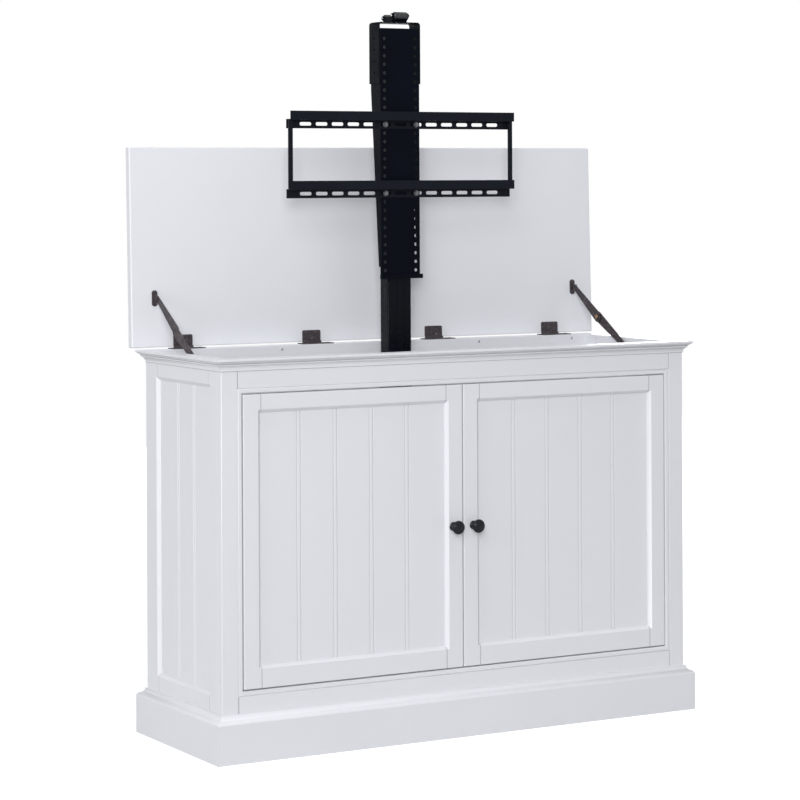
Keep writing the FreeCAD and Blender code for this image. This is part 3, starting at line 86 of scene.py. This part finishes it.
def noise(tree, scale, detail=4.0, rough=0.5, stretch=(1, 1, 1)):
    """Noise in object space, optionally stretched."""
    place = tree.nodes.new("ShaderNodeTexCoord")
    mapping = tree.nodes.new("ShaderNodeMapping")
    mapping.inputs["Scale"].default_value = stretch
    texture = tree.nodes.new("ShaderNodeTexNoise")
    texture.inputs["Scale"].default_value = scale
    texture.inputs["Detail"].default_value = detail
    texture.inputs["Roughness"].default_value = rough
    tree.links.new(place.outputs["Object"], mapping.inputs["Vector"])
    tree.links.new(mapping.outputs["Vector"], texture.inputs["Vector"])
    return texture.outputs["Fac"]


def ramp(tree, source, stops):
    """Colour ramp over a grey source."""
    node = tree.nodes.new("ShaderNodeValToRGB")
    first, last = node.color_ramp.elements
    for element, (position, color) in ((first, stops[0]), (last, stops[-1])):
        element.position = position
        element.color = (*color, 1)
    for position, color in stops[1:-1]:
        node.color_ramp.elements.new(position).color = (*color, 1)
    tree.links.new(source, node.inputs["Fac"])
    return node.outputs["Color"]


def map_range(tree, source, from_low, from_high, to_low, to_high):
    """Map a source from one range on another, held at its ends."""
    node = tree.nodes.new("ShaderNodeMapRange")
    node.inputs["From Min"].default_value = from_low
    node.inputs["From Max"].default_value = from_high
    node.inputs["To Min"].default_value = to_low
    node.inputs["To Max"].default_value = to_high
    tree.links.new(source, node.inputs["Value"])
    return node.outputs["Result"]


def uneven_roughness(tree, shader, source, low, high):
    """Let a noise move the roughness between two values."""
    result = map_range(tree, source, NOISE_LOW, NOISE_HIGH, low, high)
    tree.links.new(result, shader.inputs["Roughness"])


def bump(tree, shader, source, distance, strength=1.0, below=None):
    """Bump from a height source, stacked on an earlier one."""
    node = tree.nodes.new("ShaderNodeBump")
    node.inputs["Distance"].default_value = distance
    node.inputs["Strength"].default_value = strength
    tree.links.new(source, node.inputs["Height"])
    if below is not None:
        tree.links.new(below, node.inputs["Normal"])
    tree.links.new(node.outputs["Normal"], shader.inputs["Normal"])
    return node.outputs["Normal"]


def math_node(tree, operation, first, second=None):
    """One math node; either value may be a socket or a number."""
    node = tree.nodes.new("ShaderNodeMath")
    node.operation = operation
    for socket, value in zip(node.inputs, (first, second)):
        if isinstance(value, (int, float)):
            socket.default_value = value
        elif value is not None:
            tree.links.new(value, socket)
    return node.outputs["Value"]


def distance_to(tree, value, spot):
    """Distance of a value from a fixed place."""
    return math_node(tree, "ABSOLUTE", math_node(tree, "SUBTRACT", value, spot))


def painted_shade_lines(tree, axis, places, half, clear, outer):
    """Painted shade mask: 1 on lines at places along an axis, 0 for z inside clear and for what is short of
    outer.
    """
    place = tree.nodes.new("ShaderNodeTexCoord")
    parts = tree.nodes.new("ShaderNodeSeparateXYZ")
    tree.links.new(place.outputs["Object"], parts.inputs["Vector"])
    along = math_node(tree, "ABSOLUTE", parts.outputs[axis])
    nearest = distance_to(tree, along, places[0])
    for spot in places[1:]:
        nearest = math_node(tree, "MINIMUM", nearest, distance_to(tree, along, spot))
    mask = map_range(tree, nearest, 0.0, half, 1.0, 0.0)
    if clear:
        low, high = clear
        off = distance_to(tree, parts.outputs["Z"], (low + high) / 2)
        mask = math_node(tree, "MULTIPLY", mask, math_node(tree, "GREATER_THAN", off, (high - low) / 2))
    if outer:
        outer_axis, face = outer
        out = math_node(tree, "ABSOLUTE", parts.outputs[outer_axis])
        mask = math_node(tree, "MULTIPLY", mask, math_node(tree, "GREATER_THAN", out, face))
    return mask


# ---------------------------------------------------------------- finishes
def paint(name, color, grain_axis, painted_shade=None):
    """Sprayed satin paint on wood: orange peel, a faint grain, slight cloudiness, and painted shade
    darkening joints and grooves.
    """
    material, tree, shader = new_material(name, color, 0.4)
    cloud = noise(tree, 2.2, 3, 0.55)
    low = tuple(c * 0.985 for c in color)
    high = tuple(min(c * 1.01, 1) for c in color)
    coat = ramp(tree, cloud, [(NOISE_LOW, low), (NOISE_HIGH, high)])
    # Painted shade: the paint is darkened on thin lines along joints, cornice steps and groove bottoms,
    # where shade falls.
    if painted_shade:
        axis, places, half, shade_depth, clear, outer = painted_shade
        mask = painted_shade_lines(tree, axis, places, half, clear, outer)
        mixer = tree.nodes.new("ShaderNodeMix")
        mixer.data_type = "RGBA"
        mixer.inputs["B"].default_value = (*(c * shade_depth for c in color), 1)
        tree.links.new(mask, mixer.inputs["Factor"])
        tree.links.new(coat, mixer.inputs["A"])
        coat = mixer.outputs["Result"]
    tree.links.new(coat, shader.inputs["Base Color"])
    stretch = [40.0, 40.0, 40.0]
    stretch[grain_axis] = 1.6
    grain = noise(tree, 5.0, 5, 0.6, stretch)
    grained = bump(tree, shader, grain, 0.00012, 0.35)
    peel = noise(tree, 520, 2, 0.5)
    bump(tree, shader, peel, 0.00008, 0.4, grained)
    uneven_roughness(tree, shader, noise(tree, 30, 3), 0.34, 0.46)
    return material


def enamel(name, color, roughness, level):
    """Powder coat on steel: a fine leathery skin with a little dust and handling haze."""
    material, tree, shader = new_material(name, color, roughness)
    shader.inputs["Specular IOR Level"].default_value = level
    patch = noise(tree, 9, 4, 0.6)
    hazed = tuple(c * 1.5 for c in color)
    tree.links.new(ramp(tree, patch, [(0.3, color), (0.75, hazed)]), shader.inputs["Base Color"])
    skin = noise(tree, 900, 2, 0.5)
    skinned = bump(tree, shader, skin, 0.0001, 0.5)
    wave = noise(tree, 26, 2, 0.5)
    bump(tree, shader, wave, 0.0004, 0.25, skinned)
    uneven_roughness(tree, shader, noise(tree, 60, 3), roughness - 0.06, roughness + 0.1)
    return material


def metal(name, color, roughness, worn, scale):
    """Bare or plated metal with fine brushing along Z and a tone that varies."""
    material, tree, shader = new_material(name, color, roughness, 1.0)
    patch = noise(tree, scale, 5, 0.65)
    tree.links.new(ramp(tree, patch, [(0.35, color), (0.72, worn)]), shader.inputs["Base Color"])
    brushed = noise(tree, 1400, 2, 0.5, (1.0, 1.0, 0.06))
    bump(tree, shader, brushed, 0.00004, 0.5)
    uneven_roughness(tree, shader, noise(tree, 120, 3), roughness - 0.06, roughness + 0.1)
    return material


def bronzed_steel(name, color, bare):
    """Dark bronze wash over pressed steel: mottled, with bare metal showing through in specks."""
    material, tree, shader = new_material(name, color, 0.5, 0.55)
    shader.inputs["Specular IOR Level"].default_value = 0.3
    patch = noise(tree, 140, 6, 0.7)
    low = tuple(c * 0.6 for c in color)
    tree.links.new(ramp(tree, patch, [(0.3, low), (0.55, color), (0.78, bare)]), shader.inputs["Base Color"])
    hammer = noise(tree, 260, 3, 0.5)
    bump(tree, shader, hammer, 0.00025, 0.5)
    uneven_roughness(tree, shader, noise(tree, 90, 4), 0.38, 0.62)
    return material


def threaded(name, color, pitch):
    """Rolled thread on a steel screw, drawn by bump along its length."""
    material, tree, shader = new_material(name, color, 0.3, 1.0)
    place = tree.nodes.new("ShaderNodeTexCoord")
    wave = tree.nodes.new("ShaderNodeTexWave")
    wave.bands_direction = "Z"
    wave.inputs["Scale"].default_value = WAVE_LENGTH / pitch
    tree.links.new(place.outputs["Object"], wave.inputs["Vector"])
    bump(tree, shader, wave.outputs["Fac"], 0.0008, 0.9)
    patch = noise(tree, 60, 4)
    dark = tuple(c * 0.75 for c in color)
    tone = ramp(tree, patch, [(NOISE_LOW, color), (NOISE_HIGH, dark)])
    tree.links.new(tone, shader.inputs["Base Color"])
    return material


def plastic(name, color, roughness):
    """Moulded plastic with a fine spark-eroded grain."""
    material, tree, shader = new_material(name, color, roughness)
    patch = noise(tree, 14, 3, 0.5)
    high = tuple(c * 1.25 for c in color)
    tone = ramp(tree, patch, [(NOISE_LOW, color), (NOISE_HIGH, high)])
    tree.links.new(tone, shader.inputs["Base Color"])
    grain = noise(tree, 1600, 2, 0.6)
    bump(tree, shader, grain, 0.00006, 0.6)
    return material


# Painted shade in joints, cornice steps and grooves, darkened into the paint: axis, places from the middle,
# half width, tone against the paint, z range left clear, outer face that the line has to reach. Lengths in
# metres.
GROOVE_FIRST, GROOVE_PITCH, GROOVE_HALF = 0.14625, 0.0944, 0.0048
groove_edges = [GROOVE_FIRST + GROOVE_PITCH * step + edge
                for step in range(4) for edge in (-GROOVE_HALF, GROOVE_HALF)]
DOOR_JOINT_SHADE = ("X", (0.0458, 0.5299), 0.0013, 0.35, (0.2105, 0.7833), None)
SIDE_JOINT_SHADE = ("Y", (0.138,), 0.0013, 0.6, (0.15, 0.8385), None)
FACE_JOINT_SHADE = ("X", (0.5885,), 0.0012, 0.3, (0.1464, 0.8384), None)
CORNICE_JOINT_SHADE = ("Z", (0.8772, 0.8940), 0.0014, 0.4, None, None)
DOOR_GROOVE_SHADE = ("X", groove_edges, 0.0011, 0.68, None, ("Y", 0.190))
SIDE_GROOVE_SHADE = ("Y", (0.0378, 0.0474), 0.0011, 0.75, None, ("X", 0.616))

PAINT = (0.735, 0.745, 0.785)
# Painted light: the lid and hinge rail carry the same paint 2% lighter, to make up for the shade the lift
# throws on the lid.
LID_PAINT_LIGHTENED = tuple(c * 1.02 for c in PAINT)
ALONG_X, ALONG_Y, ALONG_Z = range(3)
bronze = bronzed_steel("dark_bronze", (0.068, 0.058, 0.064), (0.24, 0.20, 0.20))
steel = metal("bright_steel", (0.55, 0.56, 0.58), 0.28, (0.30, 0.31, 0.33), 160)
dull_steel = metal("dull_steel", (0.2, 0.205, 0.22), 0.4, (0.09, 0.095, 0.1), 220)
brass = metal("worn_brass", (0.42, 0.28, 0.14), 0.32, (0.24, 0.16, 0.09), 300)
black_knob = enamel("black_knob", (0.0022, 0.0026, 0.0058), 0.24, 0.24)
roller_plastic = plastic("roller_plastic", (0.012, 0.013, 0.015), 0.4)

painted = [
    (paint("paint_across", PAINT, ALONG_X), ["plinth_front", "plinth_back", "floor_panel", "door_bead"]),
    (paint("paint_deep", PAINT, ALONG_Y), ["plinth_left", "plinth_right", "floor_bearer"]),
    (paint("paint_upright", PAINT, ALONG_Z), ["back_panel"]),
    # Lid and hinge rail: the same paint lightened as painted light.
    (paint("paint_lid_lightened", LID_PAINT_LIGHTENED, ALONG_X), ["lid_panel", "hinge_rail"]),
    (paint("paint_door_frame", PAINT, ALONG_Z, DOOR_JOINT_SHADE), ["door_frame_left", "door_frame_right"]),
    (paint("paint_side_frame", PAINT, ALONG_Z, SIDE_JOINT_SHADE), ["side_frame_left", "side_frame_right"]),
    (paint("paint_door_boards", PAINT, ALONG_Z, DOOR_GROOVE_SHADE), ["door_panel_left", "door_panel_right"]),
    (paint("paint_side_boards", PAINT, ALONG_Z, SIDE_GROOVE_SHADE), ["side_panel_left", "side_panel_right"]),
    (paint("paint_face_stile", PAINT, ALONG_Z, FACE_JOINT_SHADE), ["face_stile_left", "face_stile_right"]),
    (paint("paint_face_rail", PAINT, ALONG_X, FACE_JOINT_SHADE), ["face_rail_top", "face_rail_foot"]),
    (paint("paint_cornice_across", PAINT, ALONG_X, CORNICE_JOINT_SHADE), ["cornice_front", "cornice_back"]),
    (paint("paint_cornice_deep", PAINT, ALONG_Y, CORNICE_JOINT_SHADE), ["cornice_left", "cornice_right"])]
coated = [
    (enamel("black_enamel", (0.0016, 0.0026, 0.0054), 0.42, 0.038),
     ["lift_base_plate", "lift_wall_bracket", "carriage_channel", "cap_bracket", "roller_fork"]),
    (enamel("tube_enamel", (0.0012, 0.002, 0.0045), 0.24, 0.085),
     ["lift_tube_outer", "lift_tube_middle", "lift_tube_inner"]),
    (enamel("rail_enamel", (0.0045, 0.006, 0.0098), 0.42, 0.08),
     ["bracket_rail_upper", "bracket_rail_lower", "bracket_tie_left", "bracket_tie_right"])]
hardware = [
    (bronze, ["hinge_rail_leaves", "hinge_lid_leaves", "stay_lid_plates", "stay_side_plates",
              "stay_upper_arm_left", "stay_upper_arm_right", "stay_lower_arm_left", "stay_lower_arm_right"]),
    (steel, ["door_hinge_plates", "door_hinge_cups_left", "door_hinge_cups_right"]),
    (dull_steel, ["bracket_bolts"])]
round_parts = [
    (bronze, ["hinge_pins"]), (steel, ["hinge_rail_screws"]), (black_knob, ["knob_left", "knob_right"]),
    (threaded("screw_steel", (0.5, 0.51, 0.53), 0.003), ["lift_screw_lower", "lift_screw_upper"]),
    (roller_plastic, ["roller_front", "roller_rear"])]
motor = [(enamel("motor_black", (0.02, 0.02, 0.022), 0.45, 0.4), ["lift_motor"])]
control_box = [(plastic("black_plastic", (0.02, 0.02, 0.022), 0.5), ["lift_control_box"])]
for material, names in painted + coated + hardware + round_parts + motor + control_box:
    for name in names:
        mesh = nodes[name].data
        mesh.materials.clear()
        mesh.materials.append(material)


FINE_EDGED = ["door_frame_left", "door_frame_right", "door_bead", "lid_panel"]
FINE_EDGE = 0.0005


def soften(finishes, width, segments):
    """Ease the sharp edges of a finish's nodes with a small bevel, as paint and sanding do."""
    for _, names in finishes:
        for name in names:
            join = nodes[name].modifiers.new("join", "WELD")
            join.merge_threshold = 0.00001
            ease = nodes[name].modifiers.new("ease", "BEVEL")
            ease.width = FINE_EDGE if name in FINE_EDGED else width
            ease.segments = segments
            ease.limit_method = "ANGLE"
            ease.angle_limit = math.radians(40)
            ease.harden_normals = True


soften(painted, 0.0009, 2)
soften(coated, 0.0004, 1)
soften(hardware, 0.0003, 1)
soften(motor, 0.0006, 2)
soften(control_box, 0.0008, 2)


# ---------------------------------------------------------------- turned and small pieces
def fillets(points, radius, steps):
    """Round every inner corner of a profile of (radius, along) points."""
    done = [points[0]]
    for here, point, there in zip(points, points[1:], points[2:]):
        corner = Vector(point)
        back = Vector(here) - corner
        onward = Vector(there) - corner
        r = min(radius, back.length * 0.45, onward.length * 0.45)
        start = corner + back.normalized() * r
        end = corner + onward.normalized() * r
        for step in range(steps + 1):
            t = step / steps
            spot = start * (1 - t) ** 2 + corner * (2 * t * (1 - t)) + end * t ** 2
            done.append((spot.x, spot.y))
    done.append(points[-1])
    return done


def turned_mesh(profile, segments):
    """Lathe a profile of (radius, along) in millimetres about Z; radius 0 closes an end."""
    mesh = bmesh.new()
    rings = []
    for radius, along in profile:
        if radius < 1e-6:
            rings.append([mesh.verts.new((0, 0, along / 1000))])
            continue
        ring = []
        for step in range(segments):
            angle = 2 * math.pi * step / segments
            ring.append(mesh.verts.new((radius * math.cos(angle) / 1000, radius * math.sin(angle) / 1000,
                                        along / 1000)))
        rings.append(ring)
    for low, high in zip(rings, rings[1:]):
        for step in range(segments):
            after = (step + 1) % segments
            if len(low) == 1:
                mesh.faces.new((low[0], high[after], high[step]))
            elif len(high) == 1:
                mesh.faces.new((low[step], low[after], high[0]))
            else:
                mesh.faces.new((low[step], low[after], high[after], high[step]))
    bmesh.ops.recalc_face_normals(mesh, faces=mesh.faces)
    return mesh


def stored(name, mesh):
    """Mesh data made from a bmesh, which is freed."""
    data = bpy.data.meshes.new(name)
    mesh.to_mesh(data)
    mesh.free()
    return data


def finished(name, mesh, material, body, stands_for=(), sharp=35):
    """Turn a bmesh into a piece that rides on a body."""
    data = stored(name, mesh)
    data.shade_smooth()
    data.set_sharp_from_angle(angle=math.radians(sharp))
    data.materials.append(material)
    item = bpy.data.objects.new(name, data)
    scene.collection.objects.link(item)
    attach(item, body)
    if stands_for:
        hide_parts(*stands_for)


def scatter(name, shape, matrices, material, body, stands_for=()):
    """Copies of one small mesh at many places, as one piece."""
    bunch = bmesh.new()
    for matrix in matrices:
        copy = shape.copy()
        copy.transform(matrix)
        bunch.from_mesh(copy)
        bpy.data.meshes.remove(copy)
    finished(name, bunch, material, body, stands_for)


def facing(place, direction):
    """Matrix that puts a Z-built shape at a place in millimetres, pointing along a direction."""
    turn = Vector(direction).to_track_quat("Z", "Y").to_matrix().to_4x4()
    return Matrix.Translation(Vector(place) / 1000) @ turn


def crossed_head(radius, height):
    """Mesh of one pan-head screw with a cross recess, base at zero, built about Z in millimetres."""
    data = stored("dome", turned_mesh([
        (0, -0.4), (radius, -0.4), (radius, 0.15), (radius * 0.93, height * 0.5),
        (radius * 0.75, height * 0.85), (radius * 0.45, height * 0.98), (0, height)], 32))
    cross = bmesh.new()
    wide = radius * 0.6 / 1000
    thin = radius * 0.13 / 1000
    low = height * 0.35 / 1000
    for a, b in ((wide, thin), (thin, wide)):
        for vert in bmesh.ops.create_cube(cross, size=2)["verts"]:
            vert.co = Vector((vert.co.x * a, vert.co.y * b, low + (vert.co.z + 1) * height / 1000))
    cut = stored("cross", cross)
    solid = bpy.data.objects.new("dome", data)
    tool = bpy.data.objects.new("cross", cut)
    scene.collection.objects.link(solid)
    scene.collection.objects.link(tool)
    carve = solid.modifiers.new("carve", "BOOLEAN")
    carve.operation = "DIFFERENCE"
    carve.object = tool
    carve.use_self = True
    ready = solid.evaluated_get(bpy.context.evaluated_depsgraph_get())
    result = bpy.data.meshes.new_from_object(ready)
    for item, mesh in ((solid, data), (tool, cut)):
        bpy.data.objects.remove(item)
        bpy.data.meshes.remove(mesh)
    return result


SIDES = (("left", -1), ("right", 1))
SIGNS = (-1, 1)
FRONT, RISE = (0, -1, 0), (0, 0, 1)

# Places in millimetres, as in the solids.
KNOB_X, KNOB_Y, KNOB_Z = 27.5, -204, 492
KNEE_X, KNEE_Y, KNEE_Z = 588.4, 113.5, 953
ROLLERS = (("front", 88.5, 1707.0), ("rear", 135.5, 1702.6))
AXLE_END = 23.7
HINGES = (-520.5, -173.5, 173.5, 520.5)
LEAF_HOLES = ((-17, 21), (0, 14), (17, 21))

# The open lid's frame, its axis in metres.
LID_AXIS = (0, 0.2276, 0.9084)
LID_LEAN = math.radians(1.64)
on_lid = Matrix.Translation(LID_AXIS) @ Matrix.Rotation(-LID_LEAN, 4, "X")

# Knobs: a rose, a waisted neck and a head with a rim, a sunk ring and a shallow dome.
knob_profile = fillets([(0, -18), (2, -18), (2, 0), (10.5, 0), (10.5, 1.8), (7.4, 3.4), (6, 5.6), (6, 11.5),
                        (8.2, 15.5), (14.2, 20.4), (16, 22.8), (16, 25.6), (14.4, 28.4), (12.9, 29.2),
                        (12.3, 28.5), (11.4, 28.6), (10.6, 29.5), (7.2, 30.4), (6.6, 30.0), (5.8, 30.3),
                        (3, 31), (0, 31)], 1.1, 4)
for side, sign in SIDES:
    knob = turned_mesh(knob_profile, 72)
    knob.transform(facing((KNOB_X * sign, KNOB_Y, KNOB_Z), FRONT))
    finished("knob_turned_" + side, knob, black_knob, "door_" + side, ["knob_" + side], 60)

# Rollers: nylon with rounded ends and two shallow grooves.
roller_profile = fillets([(2.8, -19), (5.6, -19), (6.4, -18.2), (7.6, -18.2), (9, -16.2), (9, -7),
                          (8.5, -6.4), (8.5, -5.6), (9, -5), (9, 5), (8.5, 5.6), (8.5, 6.4), (9, 7),
                          (9, 16.2), (7.6, 18.2), (6.4, 18.2), (5.6, 19), (2.8, 19), (2.8, -19)], 0.7, 3)
for end, y, z in ROLLERS:
    roller = turned_mesh(roller_profile, 64)
    roller.transform(facing((0, y, z), (1, 0, 0)))
    finished("roller_turned_" + end, roller, roller_plastic, end + "_roller",
             ["roller_" + end])

# Bright domed nuts on the ends of the roller axles.
nut = stored("nut", turned_mesh(fillets([(0, 0), (3.2, 0), (3.2, 0.9), (2.4, 1.8), (0, 2.2)], 0.6, 3), 32))
scatter("axle_nuts", nut,
        [facing((AXLE_END * sign, y, z), (sign, 0, 0)) for _, y, z in ROLLERS for sign in SIGNS],
        steel, "carriage")

# Screw heads.
small_head = crossed_head(2.7, 1.0)
plate_head = crossed_head(3.0, 1.2)
board_head = crossed_head(3.4, 1.4)
scatter("lid_leaf_screws", small_head,
        [on_lid @ facing((x + dx, 1.8, z), FRONT) for x in HINGES for dx, z in LEAF_HOLES],
        bronze, "lid")
scatter("rail_leaf_screws", small_head,
        [facing((x + dx, y, 907.4), RISE) for x in HINGES for dx, y in ((-34, 206), (0, 199), (34, 206))],
        bronze, "cabinet")
scatter("stay_plate_screws", small_head,
        [on_lid @ facing((593 * sign, 1.3, 117.5 + dz), FRONT) for sign in SIGNS for dz in (-14, 14)],
        bronze, "lid")
scatter("stay_wall_screws", small_head,
        [facing((601 * sign, -29, 870 + dz), (-sign, 0, 0)) for sign in SIGNS for dz in (-14, 14)],
        bronze, "cabinet")
scatter("rail_face_screws", board_head,
        [facing((279 * step, 183, 896.4), FRONT) for step in (-2, -1, 0, 1, 2)],
        steel, "cabinet", ["hinge_rail_screws"])
scatter("wall_bracket_screws", plate_head,
        [facing((62 * sign, 189, z), FRONT) for sign in SIGNS for z in (683, 705)],
        steel, "cabinet")
scatter("base_plate_screws", plate_head,
        [facing((116 * sign, y, 134), RISE) for sign in SIGNS for y in (69, 161)],
        steel, "cabinet")
scatter("control_box_screws", small_head,
        [facing((x, y, 164), RISE) for x in (191, 329) for y in (126, 176)],
        steel, "cabinet")

# Worn brass rivet heads at the knees of the stays.
rivet_profile = fillets([(0, 0), (5.8, 0), (5.8, 0.9), (4.4, 1.9), (0, 2.4)], 0.8, 4)
for side, sign in SIDES:
    rivet = turned_mesh(rivet_profile, 40)
    rivet.transform(facing((KNEE_X * sign, KNEE_Y, KNEE_Z), (-sign, 0, 0)))
    finished("knee_rivet_" + side, rivet, brass, "upper_arm_" + side)

# ---------------------------------------------------------------- light and floor
DOME = 0.26  # light of the world on the part; the camera and reflections see it white
FLOOR_HALF = 6.5  # metres
FLOOR_TONE = (0.5, 0.5, 0.505)
FLOOR_GLOW = 0.72  # lifts the floor to white for the camera and reflections, over its own shading


def seen_rays(tree):
    """1 for camera, glossy and transmission rays, 0 for the rays that light the part."""
    path = tree.nodes.new("ShaderNodeLightPath")
    seen = math_node(tree, "MAXIMUM", path.outputs["Is Camera Ray"], path.outputs["Is Glossy Ray"])
    return math_node(tree, "MAXIMUM", seen, path.outputs["Is Transmission Ray"])


def mix_shaders(tree, fac, first, second, output):
    """Send one of two shaders to an output, the second where fac is 1."""
    mixer = tree.nodes.new("ShaderNodeMixShader")
    tree.links.new(fac, mixer.inputs["Fac"])
    tree.links.new(first, mixer.inputs[1])
    tree.links.new(second, mixer.inputs[2])
    tree.links.new(mixer.outputs["Shader"], output.inputs["Surface"])


def background(tree, color, strength):
    """Background shader of one colour."""
    node = tree.nodes.new("ShaderNodeBackground")
    node.inputs["Color"].default_value = (*color, 1)
    node.inputs["Strength"].default_value = strength
    return node.outputs["Background"]


def lamp(name, place, target, size, power):
    """Large soft area lamp aimed at a point."""
    data = bpy.data.lights.new(name, "AREA")
    data.shape = "RECTANGLE"
    data.size, data.size_y = size
    data.energy = power
    item = bpy.data.objects.new(name, data)
    item.location = place
    item.rotation_mode = "QUATERNION"
    item.rotation_quaternion = (Vector(target) - Vector(place)).to_track_quat("-Z", "Y")
    scene.collection.objects.link(item)


world = bpy.data.worlds.new("world")
scene.world = world
world.use_nodes = True
tree = world.node_tree
tree.nodes.clear()
output = tree.nodes.new("ShaderNodeOutputWorld")
mix_shaders(tree, seen_rays(tree), background(tree, (0.98, 0.99, 1.0), DOME),
            background(tree, (1, 1, 1), 1.0), output)

lamp("key", (-4.9, -8.3, 2.6), (0, 0, 0.8), (2.3, 1.9), 345)
lamp("left", (-7.5, -1.4, 2.5), (0, 0, 0.7), (3.4, 3.4), 130)
lamp("over", (-4.4, -6.0, 4.6), (0, 0, 0.9), (3.4, 2.8), 172)
lamp("top", (-0.4, -0.7, 4.6), (0, -0.1, 0.9), (2.6, 1.4), 50)
lamp("rear", (4.5, 8.0, 3.0), (0, 0, 0.8), (3.4, 3.0), 330)

floor_mesh = bpy.data.meshes.new("floor")
floor_corners = [(FLOOR_HALF * x, FLOOR_HALF * y, 0) for x, y in ((-1, -1), (1, -1), (1, 1), (-1, 1))]
floor_mesh.from_pydata(floor_corners, [], [(0, 1, 2, 3)])
floor = bpy.data.objects.new("floor", floor_mesh)
scene.collection.objects.link(floor)
floor_material, tree, shader = new_material("floor", FLOOR_TONE, 0.8)
glow = tree.nodes.new("ShaderNodeEmission")
glow.inputs["Color"].default_value = (1, 1, 1, 1)
glow.inputs["Strength"].default_value = FLOOR_GLOW
add = tree.nodes.new("ShaderNodeAddShader")
tree.links.new(shader.outputs["BSDF"], add.inputs[0])
tree.links.new(glow.outputs["Emission"], add.inputs[1])
mix_shaders(tree, seen_rays(tree), shader.outputs["BSDF"], add.outputs["Shader"],
            tree.nodes["Material Output"])
floor_mesh.materials.append(floor_material)
